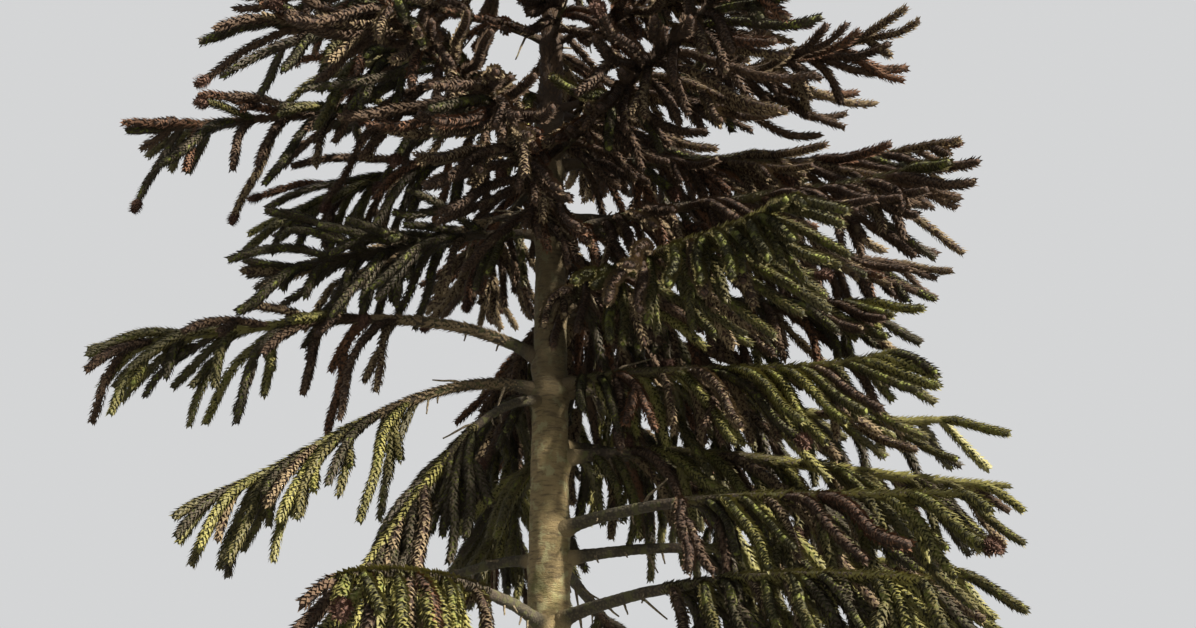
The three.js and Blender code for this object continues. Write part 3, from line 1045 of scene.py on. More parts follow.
@dataclass
class Limb:
    """One limb of the tree, with the rule for its path, its thickness and its shoots."""

    name: str
    seed: int
    whorl: Whorl
    row: LimbRow
    height: float = field(init=False)
    reach: float = field(init=False)
    points: Array = field(init=False)

    def __post_init__(self) -> None:
        """Works out where the limb leaves the trunk, how far it reaches and its path."""
        stray = HEIGHT_STRAY * jitter(self.seed, 0, Feature.HEIGHT)
        self.height = self.whorl.height + self.row.above + stray
        self.reach = (CROWN.radius_at(self.whorl.height) - CROWN.shoots_past_limb) * self.row.share
        self.points = self.path()

    @property
    def foliage(self) -> str:
        """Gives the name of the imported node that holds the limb's foliage."""
        return f"foliage_{self.name}"

    @property
    def bare_node(self) -> str:
        """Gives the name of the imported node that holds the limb's inner wood."""
        return f"bough_{self.name}" if self.whorl.bough else self.foliage

    @property
    def traits(self) -> Traits:
        """Gives what sets this limb apart."""
        return TRAITS.get(self.name, USUAL_TRAITS)

    @property
    def leafy_from(self) -> float:
        """Gives the share of its path from which its own wood has leaves."""
        usual = LEAFY_PAST_BOUGH if self.whorl.bough else LEAFY_PAST_TRUNK
        return usual if self.traits.leafy_from is None else self.traits.leafy_from

    @property
    def first_share(self) -> float:
        """Gives the share of its path before which it has no shoots."""
        return (BOUGH_END + 0.5) / LIMB_STEPS if self.whorl.bough else 0.0

    def path(self) -> Array:
        """Lets the slope ease from the trunk to the tip while the heading sweeps a little.

        Returns:
            The limb's points.
        """
        rise, level, tip = (
            slope + stray * jitter(self.seed, 0, feature)
            for slope, (feature, stray) in zip(self.whorl.slopes, SLOPE_STRAYS.items())
        )
        sweep = SWEEP_STRAY * jitter(self.seed, 0, Feature.SWEEP)
        points = [TRUNK.centre(self.height)]
        for i in range(LIMB_STEPS):
            share = (i + 0.5) / LIMB_STEPS
            inner, outer = (rise - level) * (1 - share) ** 3, (tip - level) * share**3
            slope = math.radians(level + inner + outer)
            heading = math.radians(self.row.bearing + sweep * share)
            move = np.array([math.cos(heading), math.sin(heading), math.tan(slope)])
            points.append(points[-1] + unit(move) * (self.reach / LIMB_STEPS))
        return np.array(points)

    def radius(self, share: float | Array) -> float | Array:
        """Gives the wood's radius. A short limb is thinner.

        Args:
            share: The share of the limb's path, or several.

        Returns:
            The radius, or one for each share.
        """
        widest = min(LIMB_ROOT_RADIUS, LIMB_SHARE_OF_TRUNK * TRUNK.radius(self.height))
        root = max(widest * min(1.0, self.reach / REACH_FOR_FULL_RADIUS), LEAST_ROOT_RADIUS)
        return root * (1 - share) + LIMB_TIP_RADIUS * share

    def shoot_points(self, slot: int, wildness: float = 0.0) -> Array:
        """Grows the shoot of a slot, to one side in an even slot and to the other in an odd one.

        Args:
            slot: The slot's number.
            wildness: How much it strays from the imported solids' rule, from 0 to 1.

        Returns:
            The shoot's points.
        """
        rule = SHOOT_RULE
        stray = partial(jitter, self.seed, slot)
        side = -1 if slot % 2 == 0 else 1
        row = row_of(slot)
        share = row.share(slot) if row else slot_share(slot)
        place, along = along_path(self.points, share + rule.place_stray * stray(Feature.PLACE))
        across = across_of(along)
        over = np.cross(across, along)
        usual_spread = rule.spread_at_trunk - rule.spread_fall * share
        spread = math.radians(usual_spread + rule.spread_stray * stray(Feature.SPREAD))
        tilt = math.radians(rule.tilt_stray * stray(Feature.TILT))
        spread += wildness * math.radians(rule.wild_spread * stray(Feature.WILD_SPREAD))
        tilt += wildness * math.radians(rule.wild_tilt * stray(Feature.WILD_TILT))
        outward = across * (side * math.cos(tilt)) + over * math.sin(tilt)
        direction = along * math.cos(spread) + outward * math.sin(spread)
        swelling = math.sin(math.pi * share**rule.middle_power)
        fullness = rule.end_length + rule.middle_length * swelling
        fullness += rule.length_stray * chance(self.seed, slot, Feature.LENGTH)
        length = SHOOT_LENGTH * min(1.0, self.reach / REACH_FOR_FULL_SHOOTS) * fullness
        droop_share = rule.least_droop + rule.droop_stray * chance(self.seed, slot, Feature.HANG)
        droop = self.whorl.hang * (rule.droop_at_trunk - rule.droop_fall * share) * droop_share
        droop += wildness * rule.wild_droop * stray(Feature.WILD_HANG)
        if row:
            return shoot_path(place, direction, length * row.length_share, droop + row.more_hang)
        ease = self.traits.ease if wildness else 0.0
        sag = SHOOT_SAG * (1 - rule.eased_sag * ease)
        return shoot_path(place, direction, length, droop * (1 - ease), sag)

    def tint(self, slot: int, share: float) -> Tint:
        """Deals a tint to the spray of a slot, greener the further out it is.

        Args:
            slot: The slot's number.
            share: How far out on the limb the spray counts as being.

        Returns:
            The tint.
        """
        inner, outer = TINT_SHARES[self.whorl.look]
        left = float(chance(self.seed, slot, Feature.TINT))
        own = self.traits.tint
        if own is not None and share > OWN_TINT_FROM and left < OWN_TINT_SHARE:
            return own
        for tint, near_trunk, at_tip in zip(Tint, inner, outer):
            left -= near_trunk * (1 - share) + at_tip * share
            if left < 0:
                return tint
        return Tint.UMBER


def limbs_of(whorls: tuple[Whorl, ...]) -> list[Limb]:
    """Makes all limbs.

    Args:
        whorls: The whorls, from the lowest up.

    Returns:
        Their limbs in the same order.
    """
    made: list[Limb] = []
    for level, whorl in enumerate(whorls, start=1):
        for order, row in enumerate(whorl.limbs, start=1):
            made.append(Limb(f"{level:02d}_{order}", len(made) + 1, whorl, row))
    return made


def stretch_distances(start: Array, end: Array, starts: Array, ends: Array) -> Array:
    """Measures the least distance from one straight stretch to each of many.

    Args:
        start: The stretch's start.
        end: Its end.
        starts: The others' starts, one row each.
        ends: Their ends.

    Returns:
        One distance for each of the others.
    """
    run = end - start
    runs = ends - starts
    apart = start - starts
    square = run.dot(run)
    squares = np.einsum("ij,ij->i", runs, runs)
    both = runs @ run
    slack = square * squares - both**2
    along_others = np.einsum("ij,ij->i", runs, apart)
    along_own = apart @ run
    level = both * along_others - along_own * squares
    first = np.where(slack > LEAST_SLACK, np.clip(level / np.maximum(slack, LEAST_SLACK), 0, 1), 0)
    share_other = np.clip((both * first + along_others) / squares, 0, 1)
    share_own = np.clip((both * share_other - along_own) / square, 0, 1)
    nearest = start + run * share_own[:, None]
    return np.linalg.norm(nearest - (starts + runs * share_other[:, None]), axis=1)


@dataclass
class TakenSpace:
    """What has been placed, as stretches with an owner and a radius."""

    owners: list[int] = field(default_factory=list)
    starts: list[Array] = field(default_factory=list)
    ends: list[Array] = field(default_factory=list)
    radii: list[float] = field(default_factory=list)
    table: tuple[Indices, Array, Array, Array] | None = None

    def add(self, owner: int, points: Array, radii: list[float]) -> None:
        """Takes the space of a path.

        Args:
            owner: Whose path it is.
            points: The path.
            radii: One radius for each of its stretches.
        """
        for i, radius in enumerate(radii):
            self.owners.append(owner)
            self.starts.append(points[i])
            self.ends.append(points[i + 1])
            self.radii.append(radius)
        self.table = None

    def clear_steps(self, owner: int, points: Array, radius: float, clearance: float) -> int:
        """Counts a new path's stretches up to the first one that comes too near to another owner's.

        Args:
            owner: Whose path it is.
            points: The new path.
            radius: Its radius.
            clearance: The space to keep.

        Returns:
            The number of its clear stretches, from its root.
        """
        if self.table is None:
            self.table = (
                np.array(self.owners),
                np.array(self.starts),
                np.array(self.ends),
                np.array(self.radii),
            )
        owners, starts, ends, radii = self.table
        middle = (points[0] + points[-1]) / 2
        own_reach = np.linalg.norm(points - middle, axis=1).max()
        reach = np.linalg.norm(ends - starts, axis=1) / 2 + radii + radius + clearance
        near = np.linalg.norm((starts + ends) / 2 - middle, axis=1) < own_reach + reach
        near &= owners != owner
        least = radius + radii[near] + clearance
        for i in range(len(points) - 1):
            gaps = stretch_distances(points[i], points[i + 1], starts[near], ends[near])
            if (gaps < least).any():
                return i
        return len(points) - 1


@dataclass
class Shoot:
    """One leafy shoot, with the spray that it belongs to."""

    node: str
    seed: int
    slot: int
    points: Array
    tint: Tint
    has_cone: bool = False
    root_radius: float = 0.019

    @property
    def length(self) -> float:
        """Gives the shoot's length along its path."""
        return path_length(self.points)


@dataclass
class Crown:
    """All limbs and shoots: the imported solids' own first, then those that fill the masses."""

    limbs: list[Limb]
    rope_radius: float = 0.050
    fill_clearance: float = -0.008
    fill_share: float = 0.80
    least_steps: int = 3
    past_box: float = 0.07
    past_box_high_up: float = 0.22
    high_up: float = 8.3
    cone_share: float = 0.035
    cone_share_on_coning_limbs: float = 0.25
    leader_length: float = 0.64
    leader_radius: float = 0.03
    shoots: list[Shoot] = field(default_factory=list)

    def grow(self) -> None:
        """Grows every shoot of the tree."""
        ropes = self.wood_space(self.rope_radius)
        filled = self.grow_packed(ropes)
        log.info("shoots of the packed solids: %d", len(self.shoots))
        for limb in self.limbs:
            self.fill_mass(limb, filled, ropes)
        log.info("with those that fill the masses: %d", len(self.shoots))
        for shoot in list(self.shoots):
            self.fork(shoot, ropes)
        log.info("with forks: %d", len(self.shoots))
        self.grow_leader()

    def wood_space(self, leafy_radius: float) -> TakenSpace:
        """Takes the space of the trunk and all limbs.

        Args:
            leafy_radius: The radius of the leafy tip of each limb.

        Returns:
            The space.
        """
        space = TakenSpace()
        heights = [TRUNK.top * i / TRUNK.steps for i in range(TRUNK.steps + 1)]
        centres = np.array([TRUNK.centre(height) for height in heights])
        space.add(0, centres, [TRUNK.radius(height) for height in heights[:-1]])
        for limb in self.limbs:
            radii = []
            for i in range(1, LIMB_STEPS + 1):
                share = i / LIMB_STEPS
                wood = float(limb.radius(share - 1 / LIMB_STEPS))
                radii.append(leafy_radius if share * LIMB_STEPS > TIP_SHOOT_START else wood)
            space.add(limb.seed, limb.points, radii)
        return space

    def grow_packed(self, ropes: TakenSpace) -> set[tuple[int, int]]:
        """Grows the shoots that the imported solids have, by their rule.

        Args:
            ropes: The space that shoots take.

        Returns:
            The limb's number and the slot of each of them.
        """
        filled: set[tuple[int, int]] = set()
        packed = self.wood_space(LEAF_POINT_RADIUS)
        for limb in self.limbs:
            for slot in range(FIRST_SLOTS[limb.seed % 2], SHOOT_SLOTS, SLOTS_APART):
                points = limb.shoot_points(slot)
                if slot_share(slot) <= limb.first_share:
                    continue
                clear = packed.clear_steps(limb.seed, points, LEAF_POINT_RADIUS, PACKED_CLEARANCE)
                if clear < SHOOT_STEPS:
                    continue
                packed.add(limb.seed, points, [LEAF_POINT_RADIUS] * SHOOT_STEPS)
                self.keep(limb, slot, points, ropes)
                filled.add((limb.seed, slot))
        return filled

    def fill_mass(self, limb: Limb, filled: set[tuple[int, int]], ropes: TakenSpace) -> None:
        """Adds shoots in a limb's free slots and in its added rows.

        Args:
            limb: The limb.
            filled: The limb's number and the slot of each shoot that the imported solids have.
            ropes: The space that shoots take.
        """
        is_open = limb.traits.fill_share is not None
        fill_share = limb.traits.fill_share if is_open else self.fill_share
        wildness = WILDNESS[limb.whorl.look]
        for slot in range(SHOOT_SLOTS):
            is_free = (limb.seed, slot) not in filled and slot_share(slot) > limb.first_share
            if is_free and float(chance(limb.seed, slot, Feature.FILL)) < fill_share:
                self.fill(limb, slot, limb.shoot_points(slot, wildness), ropes)
        for row in ADDED_ROWS:
            for slot in row.slots(2 if is_open else 1):
                if row.share(slot) > limb.first_share:
                    self.fill(limb, slot, limb.shoot_points(slot, wildness), ropes)

    def keep(self, limb: Limb, slot: int, points: Array, ropes: TakenSpace) -> None:
        """Keeps a shoot and takes its space.

        Args:
            limb: The limb that it leaves.
            slot: Its slot.
            points: Its points.
            ropes: The space that shoots take.
        """
        ropes.add(limb.seed, points, [self.rope_radius] * (len(points) - 1))
        share = self.cone_share_on_coning_limbs if limb.traits.is_coning else self.cone_share
        has_cone = float(chance(limb.seed, slot, Feature.CONE)) < share
        row = row_of(slot)
        tint = limb.tint(slot, row.tint_share if row else slot_share(slot))
        self.shoots.append(Shoot(limb.foliage, limb.seed, slot, points, tint, has_cone))

    def fill(self, limb: Limb, slot: int, points: Array, ropes: TakenSpace) -> None:
        """Keeps as much of a shoot as is inside its mass's box and clear of other limbs' shoots.

        Args:
            limb: The limb that it leaves.
            slot: Its slot.
            points: Its points.
            ropes: The space that shoots take.
        """
        margin = self.past_box_high_up if limb.height > self.high_up else self.past_box
        inside = self.steps_inside(limb.foliage, points, margin)
        points = points[: inside + 1]
        if inside < self.least_steps:
            return
        clear = ropes.clear_steps(limb.seed, points, self.rope_radius, self.fill_clearance)
        if clear >= self.least_steps:
            self.keep(limb, slot, points[: clear + 1], ropes)

    def steps_inside(self, node: str, points: Array, margin: float) -> int:
        """Counts a path's stretches up to the first point outside a mass's box.

        Args:
            node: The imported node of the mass.
            points: The path.
            margin: How far past the box still counts as inside.

        Returns:
            The number of stretches.
        """
        low, high = (np.array(corner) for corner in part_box(node))
        outside = ((points < low - margin) | (points > high + margin)).any(axis=1)
        return int(np.argmax(outside)) - 1 if outside.any() else len(points) - 1

    def fork(self, shoot: Shoot, ropes: TakenSpace) -> None:
        """Lets a side shoot leave a long one, as some of them do.

        Args:
            shoot: The shoot that may be forked.
            ropes: The space that shoots take.
        """
        rule = FORK_RULE
        drawn = float(chance(shoot.seed, shoot.slot, Feature.FORK))
        if drawn > rule.share_of_shoots or shoot.length < rule.least_length:
            return
        turn = jitter(shoot.seed, shoot.slot + rule.turn_slot_past_shoot, Feature.FORK)
        place, along = along_path(shoot.points, rule.place + rule.place_stray * turn)
        side = across_of(along) * (1 if turn > 0 else -1)
        direction = unit(along * math.cos(rule.angle) + side * math.sin(rule.angle))
        is_falling = shoot.points[-1][2] < shoot.points[0][2]
        hang = rule.hang_when_falling if is_falling else rule.hang_when_rising
        length = shoot.length * (rule.length_share + rule.length_stray * turn)
        points = shoot_path(place, direction, length, hang)
        clear = ropes.clear_steps(shoot.seed, points, self.rope_radius, self.fill_clearance)
        steps = min(clear, self.steps_inside(shoot.node, points, self.past_box))
        if steps >= self.least_steps:
            forked = points[: steps + 1]
            ropes.add(shoot.seed, forked, [self.rope_radius] * steps)
            slot = shoot.slot + rule.slot_past_shoot
            root = rule.root_radius
            self.shoots.append(
                Shoot(shoot.node, shoot.seed, slot, forked, shoot.tint, root_radius=root)
            )

    def grow_leader(self) -> None:
        """Grows the leader with two rings of shorter shoots round its foot."""
        node = "foliage_leader"
        stem = shoot_path(TRUNK.centre(TRUNK.top), UP, self.leader_length, 0.0)
        leader = Shoot(node, LEADER_SEED, 0, stem, Tint.UMBER, root_radius=self.leader_radius)
        self.shoots.append(leader)
        for ring in LEADER_RINGS:
            length = ring.length_share * self.leader_length
            foot, _ = along_path(stem, ring.foot)
            for i in range(ring.count):
                heading = FULL_TURN * (i + ring.turn) / ring.count
                direction = unit(np.array([math.cos(heading), math.sin(heading), ring.rise]))
                points = shoot_path(foot, direction, length, ring.hang)
                tint = ring.odd_tint if i % 2 else Tint.UMBER
                self.shoots.append(Shoot(node, ring.first_seed + i, 0, points, tint))


# A shoot's core radius with its leaves' feet, where it has the usual number of leaves.
USUAL_GIRTH = 0.042
LEAF_FOOT = 0.012
# Where the leaves at a shoot's tip start to close over it, and over how much of its length.
CLOSING_FROM = 0.94
CLOSING_RUN = 0.06
# How large a leaf is along its shoot.
LEAF_SIZES: Profile = ((0, 0.12, 0.85, 1), (0.75, 1.0, 0.95, 0.78))
# Where the seeds start for coats on a limb's two halves, on cones and on the trunk's top.
INNER_COAT_SEED = 1000
OUTER_COAT_SEED = 1100
CONE_COAT_SEED = 2000
TRUNK_COAT_SEED = 3000


@dataclass(frozen=True)
class LeafCoat:
    """Overlapping scale leaves round a shoot: keeled triangles in a golden-angle spiral."""

    leaves_per_metre: float = 265
    least_leaves: int = 12
    leaf_length: float = 0.050
    half_width: float = 0.0197
    keel: float = 0.0045
    keel_at: float = 0.12
    sunk_to: float = 0.85
    living_opening: float = 0.56
    living_stray: float = 0.10
    withered_opening: float = 0.58
    withered_stray: float = 0.14
    closing: float = 0.25
    turn_stray: float = 0.35
    least_size: float = 0.82
    size_stray: float = 0.3
    missing_share: float = 0.14

    def girth(self, radii: Array) -> float:
        """Gives how thick a core is beside a usual one, with its leaves' feet."""
        return (float(radii.mean()) + LEAF_FOOT) / USUAL_GIRTH

    def leaves(
        self, seed: int, spine: Spine, length: float, radii: Array, is_withered: bool
    ) -> tuple[Array, Indices]:
        """Sets leaves all along a spine.

        Args:
            seed: Makes this coat's small differences its own.
            spine: The shoot's centre line.
            length: Its length in metres.
            radii: The core's radius at each of the spine's centres.
            is_withered: Whether leaves stand ragged and some are gone.

        Returns:
            The points and the triangles.
        """
        count = max(self.least_leaves, int(length * self.leaves_per_metre * self.girth(radii)))
        number = np.arange(count, dtype=float)
        share = (number + 0.5) / count
        if is_withered:
            kept = chance(seed, number, Feature.RAGGED) > self.missing_share
            number, share = number[kept], share[kept]
        centre, along, across, over = spine.read(share)
        wood = np.interp(share, np.linspace(0, 1, len(radii)), radii)[:, None]
        angle = number * GOLDEN_TURN + self.turn_stray * jitter(seed, number, Feature.LEAF_TURN)
        outward = unit(across * np.sin(angle)[:, None] + over * np.cos(angle)[:, None])
        beside = np.cross(along, outward)
        opening = self.withered_opening if is_withered else self.living_opening
        stray = self.withered_stray if is_withered else self.living_stray
        lean = opening * (1 - self.closing * np.clip((share - CLOSING_FROM) / CLOSING_RUN, 0, 1))
        lean = lean + stray * jitter(seed, number, Feature.LEAF_OPENING)
        size = self.least_size + self.size_stray * chance(seed, number, Feature.LEAF_LENGTH)
        size = size * np.interp(share, *LEAF_SIZES)
        reach = (self.leaf_length * size)[:, None]
        lift, run = np.sin(lean)[:, None], np.cos(lean)[:, None]
        direction = along * run + outward * lift
        normal = outward * run - along * lift
        base = centre + outward * wood * self.sunk_to
        width = (self.half_width * size)[:, None]
        left = base - beside * width
        right = base + beside * width
        keel = base + direction * reach * self.keel_at + normal * self.keel
        tip = base + direction * reach
        points = np.stack([left, right, keel, tip], axis=1).reshape(-1, 3)
        first = 4 * np.arange(len(share))[:, None]
        faces = np.hstack([first, first + 2, first + 3, first + 2, first + 1, first + 3])
        return points, faces.reshape(-1, 3)


@dataclass
class Ropes:
    """The leafy shoots as they are seen: woody cores in one stock, leaves in one for each tint."""

    coat: LeafCoat = LeafCoat()
    thick_coat: LeafCoat = LeafCoat(leaves_per_metre=280, leaf_length=0.070, half_width=0.0225)
    core_sides: int = 4
    core_ring_apart: float = 0.10
    least_core_rings: int = 6
    core_radius: float = 0.034
    core_tip_radius: float = 0.026
    core_full_from: float = 0.20
    core_full_to: float = 0.88
    core_stray: float = 0.12
    wave_length: float = 0.75
    wave_height: float = 0.016
    wave_grows_over: float = 0.4
    rise_to_side: float = 0.7
    longer_leaves_from: float = 0.5
    limb_tinted_at: tuple[float, float] = (0.3, 0.7)
    limb_rings: int = 14
    limb_end: Profile = ((0, 9.2, 10), (1, 1, 0.6))
    trunk_leaves_from: float = 7.7
    trunk_rings: int = 30
    more_trunk_leaves: float = 1.5
    living_cores: MeshStock = field(default_factory=lambda: MeshStock(True))
    withered_cores: MeshStock = field(default_factory=lambda: MeshStock(True))
    leaves: dict[Tint, MeshStock] = field(
        default_factory=lambda: {tint: MeshStock(False) for tint in Tint}
    )

    def dress_shoot(self, shoot: Shoot, order: int) -> None:
        """Builds one shoot's core and coat.

        Args:
            shoot: The shoot.
            order: Its place among all shoots.
        """
        rings = max(self.least_core_rings, math.ceil(shoot.length / self.core_ring_apart))
        share = np.linspace(0, 1, rings)
        spine = self.waving(Spine.through(shoot.points, rings), shoot, order)
        thickness = 1 + self.core_stray * float(jitter(shoot.seed, shoot.slot, Feature.THICKNESS))
        places = (0, self.core_full_from, self.core_full_to, 1)
        core = (shoot.root_radius, self.core_radius, self.core_radius, self.core_tip_radius)
        radii = thickness * np.interp(share, places, core)
        is_withered = shoot.tint in WITHERED
        cores = self.withered_cores if is_withered else self.living_cores
        cores.add(*tube(spine, np.repeat(radii[:, None], self.core_sides, axis=1)), shoot.node)
        coat = self.coat.leaves(order + 1, spine, shoot.length, radii, is_withered)
        self.leaves[shoot.tint].add(*coat, shoot.node)

    def waving(self, spine: Spine, shoot: Shoot, order: int) -> Spine:
        """Lets a shoot wander a little to its sides, more towards its tip.

        Args:
            spine: The shoot's centre line by the rule.
            shoot: The shoot.
            order: Its place among all shoots.

        Returns:
            The centre line that wanders.
        """
        run = np.linspace(0, shoot.length, len(spine.centres))
        phase = FULL_TURN * chance(order + 1, np.arange(2.0), Feature.WAVE)
        height = self.wave_height * np.minimum(1, run / self.wave_grows_over)
        turn = run * FULL_TURN / self.wave_length
        side = np.sin(turn + phase[0]) - math.sin(phase[0])
        rise = np.sin(turn * self.rise_to_side + phase[1]) - math.sin(phase[1])
        shift = spine.across * (height * side)[:, None] + spine.over * (height * rise)[:, None]
        return Spine(spine.centres + shift)

    def dress_limb(self, limb: Limb) -> None:
        """Sets leaves on a limb's own wood, longer ones on its outer half.

        Args:
            limb: The limb.
        """
        own = tuple(limb.tint(0, share) for share in self.limb_tinted_at)
        usual = (Tint.OLIVE, Tint.MOSS) if limb.whorl.look is Look.GREEN else own
        inner_tint, outer_tint = limb.traits.wood_tints or usual
        middle = self.longer_leaves_from
        for start, end, coat, first_seed, tint in (
            (limb.leafy_from, middle, self.coat, INNER_COAT_SEED, inner_tint),
            (middle, 1.0, self.thick_coat, OUTER_COAT_SEED, outer_tint),
        ):
            at = np.linspace(start * LIMB_STEPS, end * LIMB_STEPS, self.limb_rings)
            spine = Spine(smooth_points(limb.points, at))
            radii = np.array([float(limb.radius(step / LIMB_STEPS)) for step in at])
            radii *= np.interp(at, *self.limb_end)
            length = path_length(spine.centres)
            made = coat.leaves(first_seed + limb.seed, spine, length, radii, tint in WITHERED)
            self.leaves[tint].add(*made, limb.foliage)

    def dress_trunk_top(self) -> None:
        """Sets withered leaves on the young top of the trunk, which hasn't shed them yet."""
        heights = np.linspace(self.trunk_leaves_from, TRUNK.top, self.trunk_rings)
        spine = Spine(np.array([TRUNK.centre(height) for height in heights]))
        radii = np.array([TRUNK.radius(height) for height in heights])
        length = self.more_trunk_leaves * (TRUNK.top - self.trunk_leaves_from)
        coat = self.thick_coat.leaves(TRUNK_COAT_SEED, spine, length, radii, True)
        self.leaves[Tint.UMBER].add(*coat, "trunk")

    def pieces(self) -> None:
        """Joins cores and leaves, each kind apart."""
        self.living_cores.pieces("twigs_living", Look.GREEN.value, LIVING_TWIG.material())
        self.withered_cores.pieces("twigs_withered", Look.BROWN.value, WITHERED_TWIG.material())
        for tint, stock in self.leaves.items():
            slot = TINT_SLOTS[tint].value
            stock.pieces(f"leaves_{tint.value}", slot, LEAF_FINISHES[tint].material())


@dataclass
class Wood:
    """The limbs' own wood, with collars at the trunk and the swellings of old leaf scars."""

    sides: int = 12
    least_rings: int = 6
    ring_apart: float = 0.045
    bare_ring_apart: float = 0.022
    collar: float = 0.55
    collar_fall: float = 0.09
    tip: Profile = ((0, 9.4, 10), (1, 1, 0.45))
    # Each limb's seed shifts its waves, which don't come out even, so that no two knobs are alike.
    scar_height: float = 0.07
    knobs: tuple[Wave, Wave] = (Wave(2, 71), Wave(3, -37))
    flutter: Wave = Wave(1, 9, height=0.05)
    flutter_shift: float = 2.1
    boughs: MeshStock = field(default_factory=lambda: MeshStock(True))
    limbs: MeshStock = field(default_factory=lambda: MeshStock(True))

    def build_limb(self, limb: Limb) -> None:
        """Builds one limb, and the bare inner stretch of a low one apart.

        Args:
            limb: The limb.
        """
        end = BOUGH_END if limb.whorl.bough else 0
        if limb.whorl.bough:
            self.build_stretch(limb, 0.0, float(BOUGH_END), self.bare_ring_apart, self.boughs)
        self.build_stretch(limb, float(end), float(LIMB_STEPS), self.ring_apart, self.limbs)

    def build_stretch(
        self, limb: Limb, start: float, end: float, ring_apart: float, stock: MeshStock
    ) -> None:
        """Builds a stretch of a limb.

        Args:
            limb: The limb.
            start: The step of its path where the stretch starts.
            end: The step where it ends.
            ring_apart: How far apart its rings are, in metres.
            stock: Where it is gathered.
        """
        step_length = limb.reach / LIMB_STEPS
        count = max(self.least_rings, math.ceil((end - start) * step_length / ring_apart))
        at = np.linspace(start, end, count)
        spine = Spine(smooth_points(limb.points, at))
        node = limb.bare_node if stock is self.boughs else limb.foliage
        stock.add(*tube(spine, self.ring_radii(limb, at), end == LIMB_STEPS), node)

    def ring_radii(self, limb: Limb, at: Array) -> Array:
        """Works out each ring's radius at each side: taper, collar, knobs and a slight flutter.

        Args:
            limb: The limb.
            at: The steps of its path where the rings are.

        Returns:
            The radii, as rings by sides.
        """
        run = at * limb.reach / LIMB_STEPS
        past_trunk = np.maximum(run - TRUNK.radius(limb.height), 0)
        collar = self.collar * np.exp(-past_trunk / self.collar_fall)
        radius = limb.radius(at / LIMB_STEPS) * (1 + collar) * np.interp(at, *self.tip)
        angle = FULL_TURN * np.arange(self.sides)[None, :] / self.sides
        run = run[:, None]
        first, second = (wave.at(angle, run, limb.seed) for wave in self.knobs)
        flutter = self.flutter.at(angle, run, self.flutter_shift * limb.seed)
        return radius[:, None] * (1 + self.scar_height * (first * second) + flutter)

    def pieces(self) -> None:
        """Joins the bare boughs and the other wood into two pieces."""
        self.boughs.pieces("bare_boughs", "bark", BARE_BOUGH.material())
        self.limbs.pieces("limb_wood", Look.MIXED.value, LEAFY_LIMB.material())


@dataclass
class Stubs:
    """Short dead twigs on the bare inner wood, bleached and broken off."""

    stubs_per_limb: int = 5
    shares_on_bough: tuple[float, float] = (0.10, 0.36)
    shares_on_leafy_limb: tuple[float, float] = (0.08, 0.26)
    lean_outward: float = 0.5
    least_length: float = 0.10
    more_length: float = 0.30
    hang: float = 0.9
    rings: int = 7
    sides: int = 5
    root_radius: float = 0.013
    end_radius: float = 0.006
    unevenness: Wave = Wave(1, 2.4, height=0.18)
    # A stub's place, turn and length are drawn in slots that start here.
    draws_from: tuple[int, int, int] = (0, 50, 90)
    stock: MeshStock = field(default_factory=lambda: MeshStock(True))

    def build_limb(self, limb: Limb) -> None:
        """Sets the stubs of one limb.

        Args:
            limb: The limb.
        """
        first, last = self.shares_on_bough if limb.whorl.bough else self.shares_on_leafy_limb
        taper = np.linspace(self.root_radius, self.end_radius, self.rings)
        # The wave counts rings and sides, so it doesn't close round a stub, which leaves it rough.
        ring = np.arange(self.rings)[:, None]
        side = np.arange(self.sides)[None, :]
        for i in range(self.stubs_per_limb):
            drawn_place, drawn_turn, drawn_length = (
                float(chance(limb.seed, i + first_slot, Feature.STUB))
                for first_slot in self.draws_from
            )
            share = first + (last - first) * (i + drawn_place) / self.stubs_per_limb
            place, along = along_path(limb.points, share)
            turn = FULL_TURN * drawn_turn
            across = across_of(along)
            over = np.cross(across, along)
            out = across * math.sin(turn) + over * math.cos(turn)
            direction = unit(out + along * self.lean_outward)
            length = self.least_length + self.more_length * drawn_length**2
            points = shoot_path(place, direction, length, self.hang)
            spine = Spine.through(points, self.rings)
            radii = taper[:, None] * (1 + self.unevenness.at(side, ring, i))
            self.stock.add(*tube(spine, radii), limb.bare_node)

    def pieces(self) -> None:
        """Joins the stubs into one piece."""
        self.stock.pieces("dead_stubs", Look.MIXED.value, DEAD_TWIG.material())


